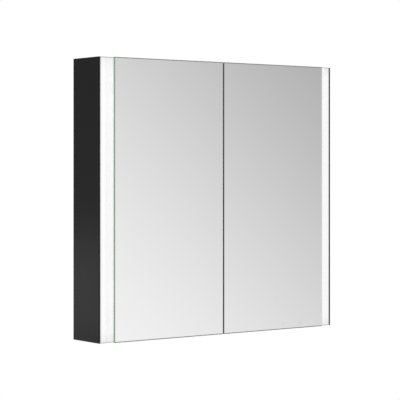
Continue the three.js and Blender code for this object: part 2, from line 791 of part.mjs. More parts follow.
// Steel sheet between the panes. Its folded edges lie over and under them, and the magnet in the
// top deck holds it.
function doorCore(side) {
  const x = [side * doorInner, side * doorOuter].sort((a, b) => a - b);
  const web = doorFront + doorPaneThickness + seatGap;
  const flanges = [-1, 1].map((end) => block(x, [doorFront, doorBack],
    [end * doorHalfHeight, end * (doorHalfHeight - doorCoreFlange)]));
  const webHalf = doorHalfHeight - doorCoreFlange / 2;
  return join([block(x, [web, web + doorCoreThickness], [-webHalf, webHalf]), ...flanges]);
}

// A bar magnet let into the front rail of the top deck. With a clearance it is its own pocket.
function magnetBar(side, clearance) {
  const x0 = side * magnetFromCentre - magnetLength / 2;
  const x1 = side * magnetFromCentre + magnetLength / 2;
  const z0 = deckMiddle - magnetHeight / 2;
  const z1 = deckMiddle + magnetHeight / 2;
  const front = doorBack + seatGap;
  return block([x0 - clearance, x1 + clearance], [front - clearance, bodyFront + magnetPocket + clearance],
    [z0 - clearance, z1 + clearance]);
}

function doorBumper(side, end) {
  const height = doorStandOff - 2 * seatGap;
  const tip = bumperRadius * bumperTip;
  const shoulder = [(bumperRadius + tip) / 2, height * 0.7];
  const profile = [[0, 0], [bumperRadius, 0], shoulder, [tip, height], [0, height]];
  const place = [side * (doorOuter - bumperFromDoorEdge), bodyFront - seatGap, end * deckMiddle];
  return turned(profile, hingeFacets, place, [0, -1, 0]);
}

// ---------------------------------------------------------------- hinges

const fixedKnuckle = (hingeLength - hingeMiddleKnuckle - hingeKnuckleGap) / 2;

function knuckle(side, z0, z1) {
  const [x, y] = [atU(side, hingeAxisU), atV(hingeAxisV)];
  return rod(hingeKnuckleRadius, [x, y, z0], [x, y, z1], hingeFacets);
}

function knuckleBore(side, height) {
  const [x, y] = [atU(side, hingeAxisU), atV(hingeAxisV)];
  return rod(hingeBoreRadius, [x, y, height - hingeLength], [x, y, height + hingeLength], hingeFacets);
}

// The leaf on the inner wall, with the upper and lower knuckles.
function wallLeaf(side, height) {
  const half = hingeLength / 2;
  const leafU = [innerFace + seatGap, innerFace + seatGap + hingeLeafThickness];
  const x = leafU.map((u) => atU(side, u));
  const plate = block(x, [atV(-edgeBreak), atV(-hingeWallLeafDepth)], [height - half, height + half]);
  const ends = [[height - half, height - half + fixedKnuckle], [height + half - fixedKnuckle, height + half]];
  const reach = [atU(side, hingeAxisU + seatGap), x[1]];
  const arms = ends.map((z) => block(reach, [atV(hingeAxisV - hingeBoreRadius), atV(-overlap)], z));
  const solid = join([plate, ...arms, ...ends.map(([z0, z1]) => knuckle(side, z0, z1))]);
  const heads = [-1, 1].map((end) => panScrew(
    [x[1], atV(-hingeWallLeafDepth + hingeScrewFromEnd), height + end * hingeScrewSpacing / 2],
    [-side, 0, 0], hingeLeafThickness / 2));
  return join([cut(solid, [knuckleBore(side, height)]), ...heads]);
}

// The leaf bonded to the back of the door, with the middle knuckle.
function doorLeaf(side, height) {
  const half = hingeLength / 2;
  const tongueHalf = (hingeMiddleKnuckle - hingeKnuckleGap) / 2;
  const start = hingeAxisU + hingeKnuckleRadius + edgeBreak;
  const corner = hingeLeafCorner;
  const outline = new THREE.Shape();
  const x = (u) => atU(side, u);
  outline.moveTo(x(start), height - half);
  outline.lineTo(x(start + hingeDoorLeafWidth - corner), height - half);
  outline.lineTo(x(start + hingeDoorLeafWidth), height - half + corner);
  outline.lineTo(x(start + hingeDoorLeafWidth), height + half - corner);
  outline.lineTo(x(start + hingeDoorLeafWidth - corner), height + half);
  outline.lineTo(x(start), height + half);
  const v = [doorStandOff - seatGap - hingeLeafThickness, doorStandOff - seatGap];
  const plate = new THREE.ExtrudeGeometry(outline, { depth: hingeLeafThickness, bevelEnabled: false })
    .rotateX(Math.PI / 2).translate(0, atV(v[0]), 0);
  const tongue = block([x(hingeAxisU), x(start + overlap)], v.map(atV),
    [height - tongueHalf, height + tongueHalf]);
  const solid = join([plate, tongue, knuckle(side, height - tongueHalf, height + tongueHalf)]);
  return cut(solid, [knuckleBore(side, height)]);
}

function hingePin(side, height) {
  const [x, y] = [atU(side, hingeAxisU), atV(hingeAxisV)];
  const shank = hingeLength / 2 + seatGap;
  const tip = shank + hingePinHead;
  const head = (hingeKnuckleRadius + hingeBoreRadius) / 2;
  const profile = [[0, -tip], [head, -tip], [head, -shank], [hingePinRadius, -shank],
    [hingePinRadius, shank], [head, shank], [head, tip], [0, tip]];
  return turned(profile, hingeFacets, [x, y, height], [0, 0, 1]);
}

// ---------------------------------------------------------------- shelves

function shelf(side, height) {
  const inner = bayInner + shelfSideClearance;
  const outer = bayOuter - shelfSideClearance;
  const rear = rearWallFront - seatGap - rearMirrorThickness - shelfRearClearance;
  const front = rear - shelfDepth;
  const [x0, x1] = [side * inner, side * outer].sort((a, b) => a - b);
  const r = shelfCornerRadius;
  const outline = new THREE.Shape();
  outline.moveTo(x0, rear);
  outline.lineTo(x0, front + r);
  outline.absarc(x0 + r, front + r, r, Math.PI, 1.5 * Math.PI, false);
  outline.absarc(x1 - r, front + r, r, 1.5 * Math.PI, 2 * Math.PI, false);
  outline.lineTo(x1, rear);
  const z = height + pegHeadRadius + seatGap;
  return new THREE.ExtrudeGeometry(outline, {
    depth: shelfThickness - 2 * glassArris,
    bevelEnabled: true,
    bevelThickness: glassArris,
    bevelSize: glassArris,
    bevelOffset: -glassArris,
    bevelSegments: 1,
    curveSegments: 5,
  }).translate(0, 0, z + glassArris);
}

// ---------------------------------------------------------------- touch sensor

// A switch module on the bottom deck: two sensing pads stand against the back of the door.
function touchSensor() {
  const x = [sensorCentres[0] - sensorHousingMargin, sensorCentres[1] + sensorHousingMargin];
  const floor = -deckInside + seatGap;
  const top = floor + sensorHousingHeight;
  const height = -halfHeight + sensorHeight;
  const plateBottom = height - sensorPadRadius - sensorPlateMargin;
  const plateBack = bodyFront - seatGap;
  const plateMiddle = plateBack - sensorPlateThickness / 2;
  const pads = sensorCentres.map((centre) => rod(sensorPadRadius,
    [centre, plateMiddle, height], [centre, doorBack + seatGap, height], turnedFacets));
  return join([
    block(x, [plateMiddle, bodyFront + sensorHousingDepth], [floor, top]),
    block(x, [plateBack - sensorPlateThickness, plateBack], [plateBottom, top]),
    ...pads,
  ]);
}

// ---------------------------------------------------------------- assembly

for (const [word, side] of Object.entries(sides)) {
  add(`${word}_side_panel`, sidePanel(side), blackAluminium);
  add(`${word}_light_profile`, lightProfile(side), satinAluminium);
  add(`${word}_diffuser`, diffuser(side), opalAcrylic);
  add(`${word}_led_board`, ledBoard(side), circuitBoard);
  add(`${word}_top_cap`, endCap(side, 1), greyPlastic);
  add(`${word}_bottom_cap`, endCap(side, -1), greyPlastic);
  add(`${word}_rear_mirror`, rearMirror(side), mirrorGlass);
  add(`${word}_rear_cover`, rearCover(side, side > 0), zincSteel);
  add(`${word}_wall_hanger`, wallHanger(side), zincSteel);
  add(`${word}_lower_shelf`, shelf(side, shelfHeights[0]), clearGlass);
  add(`${word}_upper_shelf`, shelf(side, shelfHeights[1]), clearGlass);
  add(`${word}_door_front_mirror`, doorPane(side, doorFront, doorFront + doorPaneThickness), mirrorGlass);
  add(`${word}_door_back_mirror`, doorPane(side, doorBack - doorPaneThickness, doorBack), mirrorGlass);
  add(`${word}_door_core`, doorCore(side), blackSteel);
  add(`${word}_door_magnet`, magnetBar(side, 0), magnetBlack);
  add(`${word}_levelling_screw`, levellingScrew(side), steel);
  add(`${word}_wall_buffer`, wallBuffer(side), blackRubber);
  for (const [place, height] of Object.entries(hingeHeights)) {
    add(`${word}_${place}_hinge_wall_leaf`, wallLeaf(side, height), satinAluminium);
    add(`${word}_${place}_hinge_door_leaf`, doorLeaf(side, height), satinAluminium);
    add(`${word}_${place}_hinge_pin`, hingePin(side, height), steel);
    add(`${word}_${place}_bumper`, doorBumper(side, Math.sign(height)), clearSilicone);
  }
}
add('top_deck', topDeck(), blackAluminium);
add('bottom_deck', bottomDeck(), blackAluminium);
add('centre_partition', partition(), satinAluminium);
add('rear_wall', rearWall(), zincSteel);
add('rear_stiffener', rearStiffener(), zincSteel);
add('cable_grommet', cableGrommet(1), blackRubber);
add('terminal_block', terminalBlock(1), whitePlastic);
add('light_driver', lightDriver(1), whitePlastic);
add('touch_sensor', touchSensor(), whitePlastic);

export default cabinet;
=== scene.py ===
"""A wall-hung mirror cabinet with lit edges: its finishes, fine pieces, studio and camera."""

import math

import bmesh
import bpy
from bpy.props import FloatProperty, FloatVectorProperty, IntProperty, PointerProperty
from bpy.types import Operator, Panel, PropertyGroup
from mathutils import Matrix, Vector


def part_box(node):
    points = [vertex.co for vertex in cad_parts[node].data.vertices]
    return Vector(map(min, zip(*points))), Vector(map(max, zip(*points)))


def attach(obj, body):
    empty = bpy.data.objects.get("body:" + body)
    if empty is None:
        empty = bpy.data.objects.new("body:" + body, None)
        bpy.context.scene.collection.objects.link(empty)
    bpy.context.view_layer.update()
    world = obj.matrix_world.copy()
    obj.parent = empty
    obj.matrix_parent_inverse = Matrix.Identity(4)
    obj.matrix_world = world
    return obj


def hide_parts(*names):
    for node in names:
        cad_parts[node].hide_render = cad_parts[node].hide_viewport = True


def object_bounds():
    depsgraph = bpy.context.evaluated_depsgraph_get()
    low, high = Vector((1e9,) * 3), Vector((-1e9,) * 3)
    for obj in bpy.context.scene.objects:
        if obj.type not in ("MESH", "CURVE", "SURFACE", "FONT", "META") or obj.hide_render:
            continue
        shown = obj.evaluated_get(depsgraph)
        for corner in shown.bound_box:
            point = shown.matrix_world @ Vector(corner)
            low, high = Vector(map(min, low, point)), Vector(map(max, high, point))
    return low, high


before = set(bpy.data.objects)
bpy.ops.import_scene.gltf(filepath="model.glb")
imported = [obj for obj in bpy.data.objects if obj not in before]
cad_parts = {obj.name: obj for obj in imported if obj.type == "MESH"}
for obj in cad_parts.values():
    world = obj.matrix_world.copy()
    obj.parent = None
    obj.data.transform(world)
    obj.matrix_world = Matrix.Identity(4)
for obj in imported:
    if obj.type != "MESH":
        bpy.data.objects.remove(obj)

bl_info = {
    "name": "Mirror cabinet",
    "version": (1, 0, 0),
    "blender": (4, 5, 0),
    "location": "View3D > Sidebar > Cabinet",
    "description": "Finishes, fine pieces and studio for a wall-hung mirror cabinet with lit edges",
    "category": "Object",
}

CAD_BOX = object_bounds()
SIDES = {"left": -1, "right": 1}
LEVELS = ("upper", "lower")
MM = 0.001
FINISHES = {}  # materials by the name that the pieces use, filled by main


def linear(hex_colour):
    """An sRGB hex colour as three linear values."""
    values = [int(hex_colour[i:i + 2], 16) / 255 for i in (1, 3, 5)]
    return [v / 12.92 if v <= 0.04045 else ((v + 0.055) / 1.055) ** 2.4 for v in values]


def colour(hex_colour, name, description):
    """A colour that a user can change."""
    return FloatVectorProperty(
        name=name, description=description, subtype="COLOR", size=3, min=0, max=1,
        default=linear(hex_colour))


def length(default_mm, name, description):
    """A length that a user can change, with its default in millimetres."""
    return FloatProperty(
        name=name, description=description, subtype="DISTANCE", unit="LENGTH", min=0,
        default=default_mm * MM, precision=5)


def share(default, name, description):
    """A share or strength, usually from 0 to 1, that a user can change."""
    return FloatProperty(
        name=name, description=description, subtype="FACTOR", min=0, soft_max=1, default=default)


# ---------------------------------------------------------------- what a user would change


class CabinetFinishes(PropertyGroup):
    black: colour("#141415", "Black", "Anodised side panels and decks")
    core: colour("#868888", "Core", "Coated steel cores of the doors")
    satin: colour("#c3c6c8", "Satin", "Natural anodised light profiles, partition and hinges")
    silver: colour("#f3f3f3", "Silver", "Silvering behind the mirror glass")
    ground: colour("#8ca789", "Ground edge", "Ground and arrised edges of the mirror glass")
    # Painted shade: a darker, less green grey on the meeting edges of the doors, for the shade in the
    # gap between them.
    gap_shade_edge: colour("#6d7062", "Gap shade edge", "Painted gap shade on the edges where the doors meet")
    opal: colour("#d2d2d2", "Opal", "Opal acrylic of the diffusers")
    # Painted shade: the grey that the diffuser turns towards the black side panel, for the shade of its
    # wall.
    edge_shade_colour: colour("#b4b4b4", "Edge shade colour", "Opal acrylic where it meets the black side panel")
    edge_shade: length(5, "Edge shade", "Width over which the diffuser pales from its outer edge")
    edge_share: share(0.25, "Edge share", "Share of the glow that is left at the outer edge")
    glow: colour("#ffffff", "Glow", "Light that comes through the diffusers")
    outer_glow: share(0.38, "Outer glow", "Strength of the glow along the outer band")
    # Partly the strip's own glow, partly painted light that lifts the shade of the door.
    inner_glow_and_fill: share(0.54, "Inner glow and fill", "Strength of the glow next to the door")
    # Painted light: extra glow on the slope of the step, which fills the shade the slope falls into.
    slope_fill_light: share(0.15, "Slope fill light", "How much more the slope between the bands glows")
    end_dimming: share(0.13, "End dimming", "How much of the glow is lost at the very ends")
    dim_end: length(36, "Dim end", "Length over which the glow falls off at each end")
    glass: colour("#eef6f2", "Clear glass", "Float glass of the shelves")
    glass_body: colour("#ceefe2", "Glass body", "Green that light takes on inside the shelves")
    glass_shade: colour("#eff7f3", "Glass shade", "Pale shadow that the shelves cast")
    zinc: colour("#b9bfc1", "Zinc", "Zinc-coated sheet at the back")
    nickel: colour("#c9c7c2", "Nickel", "Plated screws and pins")
    cap: colour("#b9bcbf", "Cap", "Grey end caps of the light profiles")
    white: colour("#e9e9e6", "White", "White moulded housings")
    mask: colour("#eff0ea", "Solder mask", "White circuit boards")
    phosphor: colour("#e8c65a", "Phosphor", "Faces of the light chips")
    rubber: colour("#1c1c1d", "Rubber", "Buffers and cable grommet")
    silicone: colour("#dfe4e4", "Silicone", "Soft door bumpers")
    magnet: colour("#37373a", "Magnet", "Bar magnets")
    film: colour("#4a4d49", "Film", "Bonding films between glass and leaves")
    etched: colour("#c7cbc8", "Etched", "Etched rings that mark the touch switch")


class CabinetSizes(PropertyGroup):
    arris: length(0.4, "Arris", "Width of the ground arris on the mirror glass")
    shelf_round: length(1.4, "Shelf edge", "Radius of the polished shelf edges")
    outer_band: length(14.9, "Outer band", "Width of the proud outer band of a diffuser")
    step: length(8, "Step", "Width of the soft step between the two bands")
    diffuser_wall: length(2.5, "Diffuser wall", "Thickness of the diffuser")
    chips: IntProperty(name="Chips", description="Light chips on each board", default=21, min=2)
    chip_margin: length(15, "Chip margin", "From the end of a board to its first chip")
    ring_radius: length(4.2, "Ring radius", "Radius of a touch mark")
    ring_line: length(0.7, "Ring line", "Width of the line of a touch mark")
    thread_pitch: length(0.7, "Thread pitch", "Pitch of the levelling screws")
    screw_radius: length(2, "Screw radius", "Radius of the levelling screws")
    screw_point: length(0.8, "Screw point", "Plain point of a levelling screw under its thread")
    screw_head: length(5.4, "Screw head", "Head and plain neck of a levelling screw over its thread")
    recess: length(4.3, "Recess", "How far the inner band of a diffuser is set back")
    leg: length(1.8, "Leg", "Thickness of a diffuser's legs")
    leg_inset: length(3.3, "Leg inset", "From the edge of a diffuser to its leg")
    barb: length(1.6, "Barb", "Height of the barb on a diffuser's leg")
    shelf_corner: length(8, "Shelf corner", "Radius of the front corners of a shelf")
    pin_radius: length(0.9, "Pin radius", "Radius of a hinge pin")
    pin_head: length(1.2, "Pin head", "Height of the head of a hinge pin")
    cable_bore: length(4.5, "Cable bore", "Radius of the hole in the cable grommet")
    film: length(0.3, "Film", "Thickness of the bonding films")
    leaf_start: length(5.4, "Leaf start", "From the hinge's knuckle to the flat of the door leaf")
    leaf_inset: length(2, "Leaf inset", "How far the film under a door leaf is set back")
    head_radius: length(2.4, "Head radius", "Radius of the countersunk screw heads in caps and decks")
    head_rise: length(0.15, "Head rise", "How far a countersunk screw head stands proud")
    socket_radius: length(1.25, "Socket radius", "Radius of the six-sided socket in a screw head")
    pad_inset: length(12, "Pad inset", "From the end of the switch module to its touch pad")
    pad_rise: length(8, "Pad rise", "From the foot of the switch module to its touch pads")


class CabinetStudio(PropertyGroup):
    light_level: share(0.74, "Light level", "Strength of the even light from all round")
    tone: share(0.708, "Tone", "Mean brightness of the studio in the mirrors")
    tone_swing: share(0.311, "Tone swing", "How far the studio's brightness swings")
    tone_phase: FloatProperty(
        name="Tone phase", description="Where the swing of brightness starts", default=0.007)
    tone_wave: FloatVectorProperty(
        name="Tone wave", description="How fast brightness swings along each axis",
        default=(4.96, 3.84, 5.69))
    floor_drop: length(1150, "Floor drop", "From the underside of the cabinet to the floor")
    floor_radius: length(5000, "Floor radius", "Radius of the pale floor")
    floor_paint: colour("#f7f7f7", "Floor paint", "Matt paint of the floor")
    floor_lift: share(0.2, "Floor lift", "How much the floor is brightened where it is seen")
    fade_start: share(0.3, "Fade start", "Share of the floor's radius at which it starts to fade")
    fade_end: share(0.95, "Fade end", "Share of the floor's radius at which it has faded out")
    camera_place: FloatVectorProperty(
        name="Camera place", description="Where the camera stands", subtype="XYZ", unit="LENGTH",
        default=(-2.451, -3.3031, 0.0845))
    camera_turn: FloatProperty(
        name="Camera turn", description="Turn of the camera to its right", subtype="ANGLE",
        default=math.radians(36.79))
    focal_length: FloatProperty(
        name="Focal length", description="Focal length of the lens", unit="CAMERA", default=140.31)
    sensor_width: FloatProperty(
        name="Sensor width", description="Width of the camera's sensor", unit="CAMERA", default=36)
    camera_shift: FloatProperty(
        name="Camera shift", description="Vertical shift of the lens", default=-0.0867)


# ---------------------------------------------------------------- materials


def add(tree, kind, inputs=None, **settings):
    """Adds a node with its settings. An input takes a value or another node's output."""
    made = tree.nodes.new(kind)
    for name, value in settings.items():
        setattr(made, name, value)
    for socket, value in (inputs or {}).items():
        if isinstance(value, bpy.types.NodeSocket):
            tree.links.new(value, made.inputs[socket])
        else:
            made.inputs[socket].default_value = value
    return made


def begin(name):
    """A new empty material, and the place of a point on its piece in metres."""
    material = bpy.data.materials.new(name)
    material.use_nodes = True
    tree = material.node_tree
    tree.nodes.clear()
    return material, tree, add(tree, "ShaderNodeTexCoord").outputs["Object"]


def finish(material, shader, volume=None):
    """Closes a material with its surface and, for glass, its body."""
    sockets = {"Surface": shader.outputs[0]}
    if volume:
        sockets["Volume"] = volume.outputs[0]
    add(material.node_tree, "ShaderNodeOutputMaterial", sockets)
    return material


def rgba(colour_value):
    """Three linear values as an opaque colour."""
    return (*colour_value, 1.0)


def pattern(tree, place, pitch, stretch=(1, 1, 1), detail=2.0):
    """Noise whose cells are a pitch wide in metres, drawn out along the axes by the stretch."""
    scale = [1 / (pitch * s) for s in stretch]
    spread = add(tree, "ShaderNodeMapping", {"Vector": place, "Scale": scale})
    return add(
        tree, "ShaderNodeTexNoise",
        {"Vector": spread.outputs[0], "Scale": 1.0, "Detail": detail, "Roughness": 0.6}).outputs["Fac"]


def varied(tree, noise, base=None, spread=0.0, rough=None, depth=0.0):
    """Sockets of a shader that a noise varies: its colour, lighter and darker by a share of itself,
    its roughness, between two values, and its relief, whose full step is a depth in metres."""
    sockets = {}
    if base is not None:
        dark = rgba([c * (1 - spread) for c in base])
        light = rgba([min(1.0, c * (1 + spread)) for c in base])
        sockets["Base Color"] = add(
            tree, "ShaderNodeMix", {0: noise, 6: dark, 7: light}, data_type="RGBA").outputs[2]
    if rough is not None:
        # Most of a noise lies between 0.3 and 0.7.
        sockets["Roughness"] = add(tree, "ShaderNodeMapRange", {
            "Value": noise, "From Min": 0.3, "From Max": 0.7,
            "To Min": rough[0], "To Max": rough[1]}).outputs[0]
    if depth:
        sockets["Normal"] = add(
            tree, "ShaderNodeBump", {"Height": noise, "Strength": 1.0, "Distance": depth}).outputs[0]
    return sockets


def drawn_metal(name, base, metallic, rough, along, spread=0.06, **sockets):
    """Drawn and anodised aluminium: a satin skin with faint die lines along the section.

    Real die lines lie about 0.2 mm apart. They are drawn 0.8 mm apart so that they show."""
    material, tree, place = begin(name)
    line_length = 90  # in widths of a line
    stretch = [line_length if axis == along else 1 for axis in "XYZ"]
    lines = pattern(tree, place, 0.8 * MM, stretch)
    cloud = pattern(tree, place, 60 * MM, stretch=(1, 1, 2))
    shader = add(tree, "ShaderNodeBsdfPrincipled", {
        "Metallic": metallic,
        **varied(tree, cloud, base, spread),
        **varied(tree, lines, rough=(rough - 0.03, rough + 0.03), depth=0.003 * MM),
        **sockets,
    })
    return finish(material, shader)


def black_anodised(look, along):
    """Black anodised aluminium: a dyed oxide skin, nearly black, that drinks most of the light. A lamp
    shows in it as a broad soft glow, much weaker than on bare metal."""
    return drawn_metal(
        f"black anodised aluminium {along}", look.black, metallic=0.0, rough=0.22, along=along,
        spread=0.05, **{"Specular IOR Level": 0.1})


def satin_anodised(look, along):
    """Natural anodised aluminium: light grey metal with a soft, slightly streaked sheen."""
    return drawn_metal(
        f"natural anodised aluminium {along}", look.satin, metallic=1.0, rough=0.36, along=along)


def silvered_glass(look):
    """Silvered float glass: a clear reflection with the very slight roll of drawn float glass."""
    material, tree, place = begin("silvered float glass")
    roll = pattern(tree, place, 90 * MM, stretch=(1, 1, 3), detail=0.0)
    shader = add(tree, "ShaderNodeBsdfPrincipled", {
        "Base Color": rgba(look.silver),
        "Metallic": 1.0,
        "Roughness": 0.0,
        **varied(tree, roll, depth=0.002 * MM),
    })
    return finish(material, shader)


def ground_edge(look):
    """Ground glass edge: greenish grey and matt, with the fine lines of the grinding wheel."""
    material, tree, place = begin("ground glass edge")
    lines = pattern(tree, place, 0.6 * MM, stretch=(40, 1, 40))
    shader = add(tree, "ShaderNodeBsdfPrincipled", {
        "IOR": 1.52,
        **varied(tree, lines, look.ground, 0.10, rough=(0.28, 0.42), depth=0.01 * MM),
    })
    return finish(material, shader)


def float_glass(look):
    """Clear float glass: bright through its faces and green along its edges.

    Light passes it straight where it falls on other pieces, so that shelves cast a pale shadow."""
    material, tree, place = begin("clear float glass")
    smear = pattern(tree, place, 40 * MM)
    glass = add(tree, "ShaderNodeBsdfPrincipled", {
        "Base Color": rgba(look.glass),
        "IOR": 1.52,
        "Transmission Weight": 1.0,
        **varied(tree, smear, rough=(0.0, 0.015)),
    })
    clear = add(tree, "ShaderNodeBsdfTransparent", {"Color": rgba(look.glass_shade)})
    path = add(tree, "ShaderNodeLightPath")
    shader = add(tree, "ShaderNodeMixShader", {
        "Fac": path.outputs["Is Shadow Ray"], 1: glass.outputs[0], 2: clear.outputs[0]})
    body = add(tree, "ShaderNodeVolumeAbsorption", {"Color": rgba(look.glass_body), "Density": 6.0})
    return finish(material, shader, body)


# The glow added on the slope of the step is painted light that fills its shade.
SLOPE_REACH = 0.6  # how far the raised glow reaches from the middle of the slope, in widths of it
END_FALLOFF = 1.7  # power with which the glow falls off towards an end


def opal_acrylic(look, sizes, inner, outer, half_height, side):
    """Opal acrylic lit from behind: an even white glow, made stronger in the recessed band by painted
    light that lifts the shade of the door.

    The glow is raised along the slope of the step, as painted light that fills the shade the slope
    falls into, and falls off over the last few centimetres of each end, which no light chip reaches.
    The outermost millimetres are painted shade: colour and glow turn grey towards the black side
    panel, for the shade of its wall, which also drinks the light in the sheet."""
    material, tree, place = begin(f"lit opal acrylic {side}")
    axes = add(tree, "ShaderNodeSeparateXYZ", {"Vector": place})
    inward = math.copysign(1.0, inner - outer)

    # Glow across the strip, with painted light in the recessed band and on the slope.
    slope = outer + inward * (sizes.outer_band + sizes.step / 2)
    # The recessed band next to the door glows more: partly the strip's own glow, partly painted light
    # that lifts the door's shade.
    bands = add(tree, "ShaderNodeMapRange", {
        "Value": axes.outputs["X"], "From Min": inner, "From Max": slope,
        "To Min": look.inner_glow_and_fill, "To Max": look.outer_glow}, interpolation_type="SMOOTHSTEP")
    # Painted light: extra glow along the slope of the step, strongest at its middle, fills the shade
    # the slope falls into.
    off = add(tree, "ShaderNodeMath", {0: axes.outputs["X"], 1: slope}, operation="SUBTRACT")
    from_slope = add(tree, "ShaderNodeMath", {0: off.outputs[0]}, operation="ABSOLUTE")
    raised = add(tree, "ShaderNodeMapRange", {
        "Value": from_slope.outputs[0], "From Min": 0.0, "From Max": SLOPE_REACH * sizes.step,
        "To Min": look.slope_fill_light, "To Max": 0.0}, interpolation_type="SMOOTHSTEP")
    even = add(tree, "ShaderNodeMath", {0: bands.outputs[0], 1: raised.outputs[0]}, operation="ADD")
    # Painted shade: towards the black side panel the colour turns grey and the glow weakens.
    clear = add(tree, "ShaderNodeMapRange", {
        "Value": axes.outputs["X"], "From Min": outer, "From Max": outer + inward * look.edge_shade,
        "To Min": look.edge_share, "To Max": 1.0}, interpolation_type="SMOOTHSTEP").outputs[0]

    # Fall-off towards both ends.
    height = add(tree, "ShaderNodeMath", {0: axes.outputs["Z"]}, operation="ABSOLUTE")
    towards_end = add(tree, "ShaderNodeMapRange", {
        "Value": height.outputs[0], "From Min": half_height - look.dim_end, "From Max": half_height,
        "To Min": 0.0, "To Max": 1.0})
    dim = add(tree, "ShaderNodeMath", {0: towards_end.outputs[0], 1: END_FALLOFF}, operation="POWER")
    glow = add(
        tree, "ShaderNodeMath", {0: dim.outputs[0], 1: -look.end_dimming, 2: even.outputs[0]},
        operation="MULTIPLY_ADD", use_clamp=True)
    strength = add(tree, "ShaderNodeMath", {0: glow.outputs[0], 1: clear}, operation="MULTIPLY")

    cloud = pattern(tree, place, 120 * MM)
    opal = varied(tree, cloud, look.opal, 0.01)["Base Color"]
    # The painted edge shade greys the colour at the outer edge.
    skin = add(
        tree, "ShaderNodeMix", {0: clear, 6: rgba(look.edge_shade_colour), 7: opal}, data_type="RGBA")
    shader = add(tree, "ShaderNodeBsdfPrincipled", {
        "Base Color": skin.outputs[2],
        "Roughness": 0.38,
        "IOR": 1.49,
        "Emission Color": rgba(look.glow),
        "Emission Strength": strength.outputs[0],
    })
    return finish(material, shader)


def moulded(name, base, rough, grain=0.35, depth=0.012, **sockets):
    """Injection-moulded plastic or rubber: one even colour with the fine grain of the tool."""
    material, tree, place = begin(name)
    texture = pattern(tree, place, grain * MM, detail=3.0)
    cloud = pattern(tree, place, 35 * MM)
    shader = add(tree, "ShaderNodeBsdfPrincipled", {
        **varied(tree, cloud, base, 0.025),
        **varied(tree, texture, rough=(rough - 0.06, rough + 0.06), depth=depth * MM),
        **sockets,
    })
    return finish(material, shader)


def zinc_coated(look):
    """Zinc-coated steel sheet: dull silver with the pale, ragged flowers of the crystals."""
    material, tree, place = begin("zinc-coated steel sheet")
    stir = add(tree, "ShaderNodeTexNoise", {"Vector": place, "Scale": 1 / (4 * MM), "Detail": 3.0})
    ragged = add(
        tree, "ShaderNodeVectorMath", {0: stir.outputs["Color"], 1: (3 * MM, 3 * MM, 3 * MM), 2: place},
        operation="MULTIPLY_ADD")
    flowers = add(tree, "ShaderNodeTexVoronoi", {
        "Vector": ragged.outputs[0], "Scale": 1 / (9 * MM), "Randomness": 1.0}, feature="F1")
    crystal = add(tree, "ShaderNodeSeparateColor", {"Color": flowers.outputs["Color"]}).outputs[0]
    shader = add(tree, "ShaderNodeBsdfPrincipled", {
        "Metallic": 0.9,
        **varied(tree, crystal, look.zinc, 0.10, rough=(0.34, 0.48)),
    })
    return finish(material, shader)


def nickel_plated(look):
    """Nickel-plated steel: a warm bright metal with fine turning marks."""
    material, tree, place = begin("nickel-plated steel")
    marks = pattern(tree, place, 0.3 * MM)
    shader = add(tree, "ShaderNodeBsdfPrincipled", {
        "Metallic": 1.0,
        **varied(tree, marks, look.nickel, 0.05, rough=(0.18, 0.30), depth=0.003 * MM),
    })
    return finish(material, shader)


def phosphor_face(look):
    """Phosphor of a light chip: a soft yellow gel, lit from below."""
    material, tree, place = begin("light chip phosphor")
    speck = pattern(tree, place, 0.4 * MM)
    shader = add(tree, "ShaderNodeBsdfPrincipled", {
        "Roughness": 0.3,
        "Emission Color": rgba(look.glow),
        "Emission Strength": 1.0,
        **varied(tree, speck, look.phosphor, 0.08),
    })
    return finish(material, shader)


def make_finishes(look):
    """Every finish of the cabinet by the name that the pieces use."""
    made = {
        "silvered": silvered_glass(look),
        "ground": ground_edge(look),
        "float": float_glass(look),
        "zinc": zinc_coated(look),
        "nickel": nickel_plated(look),
        "phosphor": phosphor_face(look),
        # ABS from a sparked tool: matt with a fine grain.
        "cap": moulded("grey moulded ABS", look.cap, 0.5),
        # Polycarbonate housings: the same grain with a little more gloss.
        "white": moulded("white moulded polycarbonate", look.white, 0.45),
        # Printed solder mask: smooth and slightly glossy.
        "mask": moulded("white solder mask", look.mask, 0.35, grain=0.8, depth=0.004),
        # Moulded EPDM: dull, with a coarser grain than plastic.
        "rubber": moulded("moulded EPDM rubber", look.rubber, 0.72, grain=0.6, depth=0.03),
        # Soft clear silicone: milky, light passes a short way into it.
        "silicone": moulded(
            "clear silicone", look.silicone, 0.3,
            **{"Subsurface Weight": 0.6, "Subsurface Scale": 2 * MM, "Transmission Weight": 0.35}),
        # Ferrite in plastic: dark grey, between matt and satin.
        "magnet": moulded("plastic-bound magnet", look.magnet, 0.55, grain=0.5),
        # Powder coating on steel: grey with a fine orange peel.
        "coated": moulded("grey powder-coated steel", look.core, 0.5, grain=0.5, depth=0.008),
        # Acrylic foam tape: dull dark grey where its edge shows.
        "film": moulded("acrylic bonding film", look.film, 0.6, grain=1.0),
        # Acid-etched glass: a pale frosted line on the clear mirror.
        "etched": moulded("etched glass", look.etched, 0.6, grain=0.4),
        # Painted shade on the meeting edges of the glass: a dull olive grey, without the green of bare
        # glass, for the shade in the gap between the doors.
        "gap_shade_edge": moulded("painted gap shade on glass edges", look.gap_shade_edge, 0.5, grain=0.4, depth=0.005),
    }
    for along in "XZ":
        made[f"black {along}"] = black_anodised(look, along)
        made[f"satin {along}"] = satin_anodised(look, along)
    return made


# ---------------------------------------------------------------- bmesh helpers


